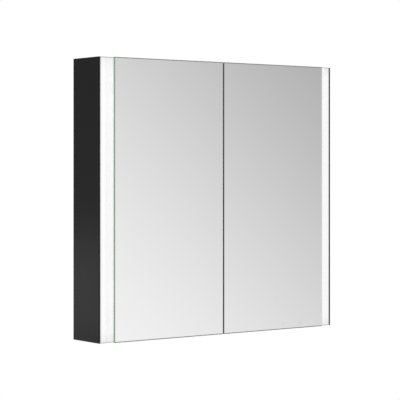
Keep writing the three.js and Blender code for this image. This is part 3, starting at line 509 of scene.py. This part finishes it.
def new_piece(name, bm, body, finishes, stands_for=(), smooth=0.0):
    """Turns a bmesh into a piece on a body. Edges under the smooth angle are shaded round."""
    weld = 0.001 * MM
    bmesh.ops.remove_doubles(bm, verts=bm.verts, dist=weld)
    bmesh.ops.recalc_face_normals(bm, faces=bm.faces)
    for edge in bm.edges:
        edge.smooth = len(edge.link_faces) == 2 and edge.calc_face_angle() < smooth
    for face in bm.faces:
        face.smooth = smooth > 0
    mesh = bpy.data.meshes.new(name)
    bm.to_mesh(mesh)
    bm.free()
    for material in finishes:
        mesh.materials.append(material)
    piece = bpy.data.objects.new(name, mesh)
    bpy.context.scene.collection.objects.link(piece)
    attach(piece, body)
    if stands_for:
        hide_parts(*stands_for)
    return piece


def slab(bm, low, high):
    """A box between two corners."""
    made = bmesh.ops.create_cube(bm, size=1.0)
    size = Vector(high) - Vector(low)
    bmesh.ops.scale(bm, vec=size, verts=made["verts"])
    bmesh.ops.translate(bm, vec=(Vector(low) + Vector(high)) / 2, verts=made["verts"])
    return made["verts"]


def rounded(bm, edges, radius, segments=2):
    """Breaks or rounds edges."""
    bmesh.ops.bevel(
        bm, geom=list(edges), offset=radius, offset_type="OFFSET", segments=segments, profile=0.5,
        affect="EDGES", clamp_overlap=True, material=-1)


def spun(bm, profile, place, outward, steps=40):
    """A turned form: a profile of radius and height, spun about the outward axis at a place."""
    old = set(bm.verts)
    verts = [bm.verts.new((radius, 0, height)) for radius, height in profile]
    edges = [bm.edges.new(pair) for pair in zip(verts, verts[1:])]
    bmesh.ops.spin(
        bm, geom=verts + edges, cent=(0, 0, 0), axis=(0, 0, 1), angle=math.tau, steps=steps,
        use_merge=True, use_duplicate=False)
    turn = Vector((0, 0, 1)).rotation_difference(Vector(outward)).to_matrix().to_4x4()
    bmesh.ops.transform(
        bm, matrix=Matrix.Translation(place) @ turn, verts=[v for v in bm.verts if v not in old])


def arc(centre, radius, start, end, steps):
    """Points of a profile along an arc, from one angle to another in degrees."""
    points = []
    for i in range(steps + 1):
        angle = math.radians(start + (end - start) * i / steps)
        points.append((centre[0] + radius * math.cos(angle), centre[1] + radius * math.sin(angle)))
    return points


def drawn_out(bm, outline, low, high):
    """A section in x and y, drawn out along Z."""
    face = bm.faces.new([bm.verts.new((x, y, low)) for x, y in outline])
    made = bmesh.ops.extrude_face_region(bm, geom=[face])
    top = [v for v in made["geom"] if isinstance(v, bmesh.types.BMVert)]
    bmesh.ops.translate(bm, vec=(0, 0, high - low), verts=top)


def middle(node):
    """The middle of a node's box."""
    low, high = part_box(node)
    return (low + high) / 2


# ---------------------------------------------------------------- carried-over pieces

# The finish of a node by the ending of its name, with the axis along which its section is drawn.
FINISH_OF = {
    "side_panel": "black Z",
    "deck": "black X",
    "light_profile": "satin Z",
    "centre_partition": "satin Z",
    "wall_leaf": "satin Z",
    "door_leaf": "satin Z",
    "cap": "cap",
    "led_board": "mask",
    "rear_cover": "zinc",
    "rear_wall": "zinc",
    "rear_stiffener": "zinc",
    "wall_hanger": "zinc",
    "door_core": "coated",
    "levelling_screw": "nickel",
    "hinge_pin": "nickel",
    "door_magnet": "magnet",
    "terminal_block": "white",
    "light_driver": "white",
    "touch_sensor": "white",
    "mirror": "silvered",
    "shelf": "float",
    "diffuser": "cap",
    "bumper": "silicone",
    "buffer": "rubber",
    "grommet": "rubber",
}


class CABINET_OT_body_finishes(Operator):
    """Gives every piece of the frame its finish"""

    bl_idname = "cabinet.body_finishes"
    bl_label = "Body finishes"

    def execute(self, context):
        for name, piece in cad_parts.items():
            ending = next(e for e in FINISH_OF if name.endswith(e))
            piece.data.materials.clear()
            piece.data.materials.append(FINISHES[FINISH_OF[ending]])
        return {"FINISHED"}


# ---------------------------------------------------------------- mirrors


def glass_pane(name, node, body, arris, meeting=0):
    """A sheet of mirror glass: silvered over its two faces, ground round its edges.

    The edge on the meeting side, right (1) or left (-1), takes a darker grey: painted shade for the gap
    between the doors."""
    bm = bmesh.new()
    slab(bm, *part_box(node))
    rounded(bm, bm.edges, arris)
    for face in bm.faces:
        face.normal_update()
        if abs(face.normal.y) > 0.99:
            face.material_index = 0
        elif face.normal.x * meeting > 0.3:  # the arrises of that edge as well
            face.material_index = 2
        else:
            face.material_index = 1
    finishes = [FINISHES["silvered"], FINISHES["ground"]]
    if meeting:
        # Painted shade for the gap between the doors, on the meeting edge.
        finishes.append(FINISHES["gap_shade_edge"])
    new_piece(name, bm, body, finishes, [node])


def bonding_film(name, body, low, high, inset):
    """A thin film between two pieces, set back from their edges."""
    bm = bmesh.new()
    edge = Vector((inset, 0, inset))
    slab(bm, low + edge, high - edge)
    new_piece(name, bm, body, [FINISHES["film"]])


class CABINET_OT_mirrors(Operator):
    """Makes the mirrored doors, their bonding films and the mirror lining of the back"""

    bl_idname = "cabinet.mirrors"
    bl_label = "Mirrors"

    def execute(self, context):
        sizes = context.scene.cabinet_sizes
        for word, side in SIDES.items():
            front, back = f"{word}_door_front_mirror", f"{word}_door_back_mirror"
            glass_pane(f"{word}_door_glass", front, f"{word}_door", sizes.arris, -side)
            glass_pane(f"{word}_door_inner_glass", back, f"{word}_door", sizes.arris, -side)
            glass_pane(f"{word}_back_lining", f"{word}_rear_mirror", "cabinet", sizes.arris)
            low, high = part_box(front)
            behind_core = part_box(back)[0].y - sizes.film
            for place, start in (("front", high.y), ("back", behind_core)):
                bonding_film(
                    f"{word}_door_{place}_film", f"{word}_door", Vector((low.x, start, low.z)),
                    Vector((high.x, start + sizes.film, high.z)), 2 * sizes.arris)
            for level in LEVELS:
                low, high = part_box(f"{word}_{level}_hinge_door_leaf")
                near = Vector((low.x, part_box(back)[1].y, low.z))
                far = Vector((high.x, near.y + sizes.film, high.z))
                if word == "left":
                    near.x += sizes.leaf_start
                else:
                    far.x -= sizes.leaf_start
                bonding_film(f"{word}_{level}_leaf_film", f"{word}_door", near, far, sizes.leaf_inset)
        return {"FINISHED"}


class CABINET_OT_touch_marks(Operator):
    """Etches the two rings that mark the touch switch low on the right-hand door"""

    bl_idname = "cabinet.touch_marks"
    bl_label = "Touch marks"

    def execute(self, context):
        sizes = context.scene.cabinet_sizes
        low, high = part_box("touch_sensor")
        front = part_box("right_door_front_mirror")[0].y
        inner, outer = sizes.ring_radius - sizes.ring_line / 2, sizes.ring_radius + sizes.ring_line / 2
        skin = 0.03 * MM  # over and under the face of the glass
        ring = [(inner, -skin), (inner, skin), (outer, skin), (outer, -skin), (inner, -skin)]
        bm = bmesh.new()
        for x in (low.x + sizes.pad_inset, high.x - sizes.pad_inset):
            spun(bm, ring, (x, front, low.z + sizes.pad_rise), (0, -1, 0))
        new_piece(
            "touch_marks", bm, "right_door", [FINISHES["etched"]],
            smooth=math.radians(30))
        return {"FINISHED"}


# ---------------------------------------------------------------- light strips


def diffuser_outline(sizes, word):
    """Section of a diffuser in x and y: a proud outer band, a soft step, a recessed inner band,
    and behind them two legs with barbs."""
    low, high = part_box(f"{word}_diffuser")
    width, depth = high.x - low.x, high.y - low.y
    wall, recess, leg = sizes.diffuser_wall, sizes.recess, sizes.leg
    steps = 16  # along the slope of the step
    front = [(0, 0)]
    for i in range(steps + 1):
        ease = (1 - math.cos(math.pi * i / steps)) / 2
        front.append((sizes.outer_band + sizes.step * i / steps, recess * ease))
    front.append((width, recess))
    step_back = [(x, y + wall) for x, y in reversed(front[1:-1])]
    inner_leg, outer_leg = width - sizes.leg_inset, sizes.leg_inset
    barb_start, barb_reach = depth - sizes.barb, leg / 3
    outline = front + [
        (width, recess + wall), (inner_leg, recess + wall), (inner_leg, barb_start),
        (inner_leg + barb_reach, barb_start), (inner_leg, depth), (inner_leg - leg, depth),
        (inner_leg - leg, recess + wall)]
    outline += step_back + [
        (outer_leg + leg, wall), (outer_leg + leg, depth), (outer_leg, depth),
        (outer_leg - barb_reach, barb_start), (outer_leg, barb_start), (outer_leg, wall), (0, wall)]
    if word == "left":
        return [(low.x + x, low.y + y) for x, y in outline]
    return [(high.x - x, low.y + y) for x, y in outline]


# Half section of the domed face of a light chip in millimetres: radius, and height over the chip.
CHIP_DOME = [(0, 0.45), (1.2, 0.4), (1.9, 0.2), (2.1, -0.2), (0, -0.2)]


class CABINET_OT_light_strips(Operator):
    """Makes the two opal diffusers and the glowing faces of the light chips behind them"""

    bl_idname = "cabinet.light_strips"
    bl_label = "Light strips"

    def execute(self, context):
        sizes = context.scene.cabinet_sizes
        for word, side in SIDES.items():
            node = f"{word}_diffuser"
            low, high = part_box(node)
            bm = bmesh.new()
            drawn_out(bm, diffuser_outline(sizes, word), low.z, high.z)
            outer = low.x if side < 0 else high.x
            inner = high.x if side < 0 else low.x
            new_piece(
                f"{word}_lit_diffuser", bm, "cabinet",
                [opal_acrylic(context.scene.cabinet_finishes, sizes, inner, outer, high.z, word)],
                [node], smooth=math.radians(20))
            self.chips(sizes, word)
        return {"FINISHED"}

    def chips(self, sizes, word):
        """The faces of the light chips on one board."""
        low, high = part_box(f"{word}_led_board")
        first = low.z + sizes.chip_margin
        pitch = (high.z - low.z - 2 * sizes.chip_margin) / (sizes.chips - 1)
        dome = [(radius * MM, height * MM) for radius, height in CHIP_DOME]
        bm = bmesh.new()
        for i in range(sizes.chips):
            place = ((low.x + high.x) / 2, low.y, first + pitch * i)
            spun(bm, dome, place, (0, -1, 0), steps=16)
        new_piece(
            f"{word}_chip_faces", bm, "cabinet", [FINISHES["phosphor"]],
            smooth=math.radians(60))


# ---------------------------------------------------------------- shelves


class CABINET_OT_shelves(Operator):
    """Makes the glass shelves with rounded front corners and polished edges"""

    bl_idname = "cabinet.shelves"
    bl_label = "Shelves"

    def execute(self, context):
        sizes = context.scene.cabinet_sizes
        for word in SIDES:
            for level in LEVELS:
                node = f"{word}_{level}_shelf"
                low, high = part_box(node)
                bm = bmesh.new()
                slab(bm, low, high)
                front = [
                    e for e in bm.edges
                    if all(abs(v.co.y - low.y) < MM for v in e.verts)
                    and abs(e.verts[0].co.z - e.verts[1].co.z) > MM]
                rounded(bm, front, sizes.shelf_corner, segments=8)
                rims = [e for e in bm.edges if abs(e.verts[0].co.z - e.verts[1].co.z) < MM / 10]
                rounded(bm, rims, sizes.shelf_round, segments=3)
                new_piece(
                    f"{word}_{level}_glass_shelf", bm, "cabinet", [FINISHES["float"]],
                    [node], smooth=math.radians(35))
        return {"FINISHED"}


# ---------------------------------------------------------------- hinges and small turned pieces


def turned_piece(name, node, profile, place, outward, finish_name):
    """A turned piece of the cabinet, which stands for a node or, without one, is an addition."""
    bm = bmesh.new()
    spun(bm, profile, place, outward)
    new_piece(
        name, bm, "cabinet", [FINISHES[finish_name]], stands_for=[node] if node else (),
        smooth=math.radians(40))


class CABINET_OT_hinge_pins(Operator):
    """Makes the four hinge pins with their domed heads"""

    bl_idname = "cabinet.hinge_pins"
    bl_label = "Hinge pins"

    def execute(self, context):
        sizes = context.scene.cabinet_sizes
        for word in SIDES:
            for level in LEVELS:
                node = f"{word}_{level}_hinge_pin"
                low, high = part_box(node)
                head, half = (high.x - low.x) / 2, (high.z - low.z) / 2
                rim = half - sizes.pin_head / 2  # where the head starts to round
                dome = [
                    (head * across, rim + sizes.pin_head / 2 * rise)
                    for across, rise in arc((0, 0), 1, 0, 68.75, 3)]
                upper = [(sizes.pin_radius, half - sizes.pin_head), (head, half - sizes.pin_head)]
                upper += dome + [(0, half)]
                lower = [(radius, -height) for radius, height in reversed(upper)]
                turned_piece(
                    f"{word}_{level}_pin", node, lower + upper, middle(node), (0, 0, 1), "nickel")
        return {"FINISHED"}


# A wall buffer in millimetres. Its half section is given inwards from the crest of the ribs.
BUFFER_GROOVE = 0.8
BUFFER_RIBS = (0.4, 2.5, 4.6)  # where each rib starts, up from the foot
BUFFER_RIB = [(BUFFER_GROOVE, 0), (0, 0.4), (0, 1.2), (BUFFER_GROOVE, 1.6)]  # inwards, up
BUFFER_RIM = [(BUFFER_GROOVE, 2), (2.2, 0.3), (3, 0)]  # inwards, down from the end
BUFFER_DIMPLE = [(0.36, 0), (0.3, 2.2), (0, 2.4)]  # share of the radius, down from the end


class CABINET_OT_soft_parts(Operator):
    """Makes the clear door bumpers, the rubber wall buffers and the cable grommet"""

    bl_idname = "cabinet.soft_parts"
    bl_label = "Bumpers, buffers and grommet"

    def execute(self, context):
        sizes = context.scene.cabinet_sizes
        for word in SIDES:
            for level in LEVELS:
                self.bumper(f"{word}_{level}_bumper")
            self.buffer(f"{word}_wall_buffer")
        self.grommet("cable_grommet", sizes.cable_bore)
        return {"FINISHED"}

    def bumper(self, node):
        """A clear dome on a short straight foot, fuller at its shoulder than a ball."""
        low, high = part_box(node)
        centre, radius, height = middle(node), (high.x - low.x) / 2, high.y - low.y
        foot = 0.15 * height
        profile = [(0, 0), (radius, 0), (radius, foot)]
        for angle in (0.3, 0.6, 0.9, 1.2, 1.45):  # radians up the dome
            profile.append(
                (radius * math.sqrt(math.cos(angle)), foot + (height - foot) * math.sin(angle)))
        profile.append((0, height))
        turned_piece(
            f"{node}_dome", node, profile, (centre.x, high.y, centre.z), (0, -1, 0), "silicone")

    def buffer(self, node):
        """A ribbed rubber foot with a rounded rim and a dimple in its end."""
        low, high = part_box(node)
        centre, radius, height = middle(node), (high.x - low.x) / 2, high.y - low.y
        profile = [(0, 0), (radius - BUFFER_GROOVE * MM, 0)]
        for start in BUFFER_RIBS:
            profile += [(radius - deep * MM, (start + up) * MM) for deep, up in BUFFER_RIB]
        profile += [(radius - deep * MM, height - down * MM) for deep, down in BUFFER_RIM]
        profile += [(radius * part, height - down * MM) for part, down in BUFFER_DIMPLE]
        turned_piece(
            f"{node}_ribbed", node, profile, (centre.x, low.y, centre.z), (0, 1, 0), "rubber")

    def grommet(self, node, bore):
        """A rubber ring, rounded where the cable passes over its lip."""
        low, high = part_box(node)
        centre, radius, height = middle(node), (high.x - low.x) / 2, high.y - low.y
        lip = 0.4 * (radius - bore)
        profile = [(bore + lip - x, lip - y) for x, y in arc((0, 0), lip, 0, 90, 4)]
        profile += [(radius - lip, 0), (radius, lip), (radius, height - lip)]
        profile += [(radius - lip, height), (bore + lip, height), (bore, height - lip), (bore, lip)]
        turned_piece(
            f"{node}_ring", node, profile, (centre.x, low.y, centre.z), (0, 1, 0), "rubber")


# Millimetres under and over the plain shank. The threads are rings, which at this size look the
# same as a screw's turns.
THREAD_ROOT, THREAD_CREST = 0.05, 0.28


class CABINET_OT_threads(Operator):
    """Cuts the threads of the two levelling screws"""

    bl_idname = "cabinet.threads"
    bl_label = "Screw threads"

    def execute(self, context):
        sizes = context.scene.cabinet_sizes
        for word in SIDES:
            node = f"{word}_levelling_screw"
            low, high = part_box(node)
            centre, pitch, start = middle(node), sizes.thread_pitch, low.z + sizes.screw_point
            root, crest = sizes.screw_radius - THREAD_ROOT * MM, sizes.screw_radius + THREAD_CREST * MM
            turns = int((high.z - sizes.screw_head - start) / pitch)
            profile = [(0, 0), (root, 0)]
            for i in range(turns):
                profile += [(crest, (i + 0.5) * pitch), (root, (i + 1) * pitch)]
            profile.append((0, turns * pitch))
            turned_piece(
                f"{word}_levelling_thread", None, profile, (centre.x, centre.y, start), (0, 0, 1),
                "nickel")
        return {"FINISHED"}


# Places of the sockets in millimetres: inwards from the outer face of the side, back from its front.
CAP_SCREWS = [(7.4, 32.5), (41.4, 104), (6.7, 96)]
# Back from the front of the sides, in line with the centre partition.
DECK_SCREWS = [28, 74]


class CABINET_OT_screw_heads(Operator):
    """Makes the heads of the countersunk screws in the end caps and the decks"""

    bl_idname = "cabinet.screw_heads"
    bl_label = "Screw heads"

    def execute(self, context):
        sizes = context.scene.cabinet_sizes
        for place in ("top", "bottom"):
            for word, side in SIDES.items():
                low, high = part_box(f"{word}_side_panel")
                outer = high.x if side > 0 else low.x
                spots = [(outer - side * u * MM, low.y + v * MM) for u, v in CAP_SCREWS]
                self.heads(sizes, f"{word}_{place}_cap", spots)
            front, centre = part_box("left_side_panel")[0].y, middle("centre_partition").x
            self.heads(sizes, f"{place}_deck", [(centre, front + v * MM) for v in DECK_SCREWS])
        return {"FINISHED"}

    def heads(self, sizes, node, spots):
        """Low rings round six-sided sockets, on the outer face of a cap or a deck."""
        low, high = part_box(node)
        upward = 1 if (low.z + high.z) > 0 else -1
        face = high.z if upward > 0 else low.z
        bm = bmesh.new()
        for x, y in spots:
            socket = bmesh.ops.create_circle(bm, segments=6, radius=sizes.socket_radius)["verts"]
            rim = bmesh.ops.create_circle(bm, segments=24, radius=sizes.head_radius)["verts"]
            loops = [e for e in bm.edges if e.verts[0] in socket or e.verts[0] in rim]
            ring = bmesh.ops.bridge_loops(bm, edges=loops)["faces"]
            lifted = bmesh.ops.extrude_face_region(bm, geom=ring)["geom"]
            top = [v for v in lifted if isinstance(v, bmesh.types.BMVert)]
            bmesh.ops.translate(bm, vec=(0, 0, upward * sizes.head_rise), verts=top)
            bmesh.ops.translate(bm, vec=(x, y, face), verts=socket + rim + top)
        new_piece(
            f"{node}_screw_heads", bm, "cabinet", [FINISHES["nickel"]],
            smooth=math.radians(30))


# ---------------------------------------------------------------- studio


def studio_world(studio):
    """White to the eye, even light on the object, and in the mirrors a studio whose brightness
    swings softly, as between large soft boxes."""
    world = bpy.data.worlds.new("studio")
    world.use_nodes = True
    tree = world.node_tree
    tree.nodes.clear()
    white = rgba(linear("#ffffff"))
    away = add(tree, "ShaderNodeTexCoord").outputs["Generated"]
    wave = add(
        tree, "ShaderNodeVectorMath", {0: away, 1: studio.tone_wave},
        operation="DOT_PRODUCT").outputs["Value"]
    angle = add(tree, "ShaderNodeMath", {0: wave, 1: studio.tone_phase}, operation="ADD").outputs[0]
    swing = add(tree, "ShaderNodeMath", {0: angle}, operation="SINE").outputs[0]
    tone = add(
        tree, "ShaderNodeMath", {0: swing, 1: -studio.tone_swing, 2: studio.tone},
        operation="MULTIPLY_ADD").outputs[0]
    walls = add(tree, "ShaderNodeBackground", {"Color": white, "Strength": tone})
    even = add(tree, "ShaderNodeBackground", {"Color": white, "Strength": studio.light_level})
    clean = add(tree, "ShaderNodeBackground", {"Color": white, "Strength": 1.0})
    path = add(tree, "ShaderNodeLightPath").outputs
    lit = add(tree, "ShaderNodeMixShader", {
        "Fac": path["Is Glossy Ray"], 1: even.outputs[0], 2: walls.outputs[0]})
    seen = add(
        tree, "ShaderNodeMath", {0: path["Is Camera Ray"], 1: path["Is Transmission Ray"]},
        operation="MAXIMUM")
    shader = add(tree, "ShaderNodeMixShader", {
        "Fac": seen.outputs[0], 1: lit.outputs[0], 2: clean.outputs[0]})
    add(tree, "ShaderNodeOutputWorld", {"Surface": shader.outputs[0]})
    return world


def pale_floor(studio):
    """Matt white paint that keeps the shadow, runs out into white and is clear from below."""
    material, tree, place = begin("pale studio floor")
    cloud = pattern(tree, place, 400 * MM)
    paint = add(tree, "ShaderNodeBsdfDiffuse", {
        "Color": varied(tree, cloud, studio.floor_paint, 0.004)["Base Color"]})
    path = add(tree, "ShaderNodeLightPath").outputs
    lift = add(
        tree, "ShaderNodeMath", {0: path["Is Camera Ray"], 1: studio.floor_lift},
        operation="MULTIPLY")
    glow = add(tree, "ShaderNodeEmission", {"Strength": lift.outputs[0]})
    lit = add(tree, "ShaderNodeAddShader", {0: paint.outputs[0], 1: glow.outputs[0]})
    flat = add(tree, "ShaderNodeVectorMath", {0: place, 1: (1, 1, 0)}, operation="MULTIPLY")
    away = add(tree, "ShaderNodeVectorMath", {0: flat.outputs[0]}, operation="LENGTH")
    fade = add(tree, "ShaderNodeMapRange", {
        "Value": away.outputs["Value"],
        "From Min": studio.floor_radius * studio.fade_start,
        "From Max": studio.floor_radius * studio.fade_end,
        "To Min": 0.0,
        "To Max": 1.0,
    })
    under = add(tree, "ShaderNodeNewGeometry").outputs["Backfacing"]
    clear_share = add(tree, "ShaderNodeMath", {0: fade.outputs[0], 1: under}, operation="MAXIMUM")
    clear = add(tree, "ShaderNodeBsdfTransparent")
    shader = add(tree, "ShaderNodeMixShader", {
        0: clear_share.outputs[0], 1: lit.outputs[0], 2: clear.outputs[0]})
    return finish(material, shader)


# Each lamp's place and aim in metres, size in metres, power in watts, and whether gloss shows it.
LAMPS = {
    "front lamp": ((-2.8, -2.15, 1.6), (0, 0, 0), 1.4, 44, False),
    "rear lamp": ((1.8, 2.2, 1.6), (0, 0, 0), 1.8, 14, False),
    "side lamp": ((-1.72, 2.05, -0.42), (-0.4, 0, -0.2), 0.48, 0.66, True),
}


def soft_lamp(name, place, aim, size, power, in_gloss):
    """A large soft lamp. It lights the object, and shows in glossy pieces only where that is asked."""
    lamp = bpy.data.lights.new(name, "AREA")
    lamp.shape = "DISK"
    lamp.size = size
    lamp.energy = power
    holder = bpy.data.objects.new(name, lamp)
    holder.location = place
    holder.rotation_euler = (Vector(aim) - Vector(place)).to_track_quat("-Z", "Y").to_euler()
    holder.visible_glossy = in_gloss
    holder.visible_camera = False
    holder.visible_transmission = False
    bpy.context.scene.collection.objects.link(holder)


class CABINET_OT_stage(Operator):
    """Sets up the studio: even light, three soft lamps, a pale floor and the camera"""

    bl_idname = "cabinet.stage"
    bl_label = "Studio"

    def execute(self, context):
        scene, studio = context.scene, context.scene.cabinet_studio
        scene.view_settings.view_transform = "Standard"
        scene.world = studio_world(studio)
        bm = bmesh.new()
        bmesh.ops.create_circle(bm, cap_ends=True, segments=96, radius=studio.floor_radius)
        bmesh.ops.translate(bm, vec=(0, 0, CAD_BOX[0].z - studio.floor_drop), verts=bm.verts)
        mesh = bpy.data.meshes.new("floor")
        bm.to_mesh(mesh)
        bm.free()
        mesh.materials.append(pale_floor(studio))
        floor = bpy.data.objects.new("floor", mesh)
        scene.collection.objects.link(floor)
        for name, lamp in LAMPS.items():
            soft_lamp(name, *lamp)
        camera = bpy.data.cameras.new("camera")
        camera.sensor_width = studio.sensor_width
        camera.lens = studio.focal_length
        camera.shift_y = studio.camera_shift
        holder = bpy.data.objects.new("camera", camera)
        holder.location = studio.camera_place
        holder.rotation_euler = (math.pi / 2, 0, -studio.camera_turn)
        scene.collection.objects.link(holder)
        scene.camera = holder
        return {"FINISHED"}


class CABINET_PT_panel(Panel):
    """Lists the steps that dress the cabinet, and the settings they read"""

    bl_idname = "CABINET_PT_panel"
    bl_label = "Mirror cabinet"
    bl_space_type = "VIEW_3D"
    bl_region_type = "UI"
    bl_category = "Cabinet"

    def draw(self, context):
        for step in STEPS:
            self.layout.operator(step.bl_idname)
        for setting in SETTINGS:
            group = getattr(context.scene, setting)
            for name in type(group).__annotations__:
                self.layout.prop(group, name)


SETTINGS = {
    "cabinet_finishes": CabinetFinishes,
    "cabinet_sizes": CabinetSizes,
    "cabinet_studio": CabinetStudio,
}
STEPS = (
    CABINET_OT_stage,
    CABINET_OT_body_finishes,
    CABINET_OT_mirrors,
    CABINET_OT_touch_marks,
    CABINET_OT_light_strips,
    CABINET_OT_shelves,
    CABINET_OT_hinge_pins,
    CABINET_OT_soft_parts,
    CABINET_OT_threads,
    CABINET_OT_screw_heads,
)


def register():
    for kind in (*SETTINGS.values(), *STEPS, CABINET_PT_panel):
        bpy.utils.register_class(kind)
    for name, kind in SETTINGS.items():
        setattr(bpy.types.Scene, name, PointerProperty(type=kind))


def unregister():
    for name in SETTINGS:
        delattr(bpy.types.Scene, name)
    for kind in reversed((*SETTINGS.values(), *STEPS, CABINET_PT_panel)):
        bpy.utils.unregister_class(kind)


def main():
    register()
    FINISHES.update(make_finishes(bpy.context.scene.cabinet_finishes))
    for step in STEPS:
        getattr(bpy.ops.cabinet, step.bl_idname.split(".")[1])()


if __name__ == "__main__":
    main()
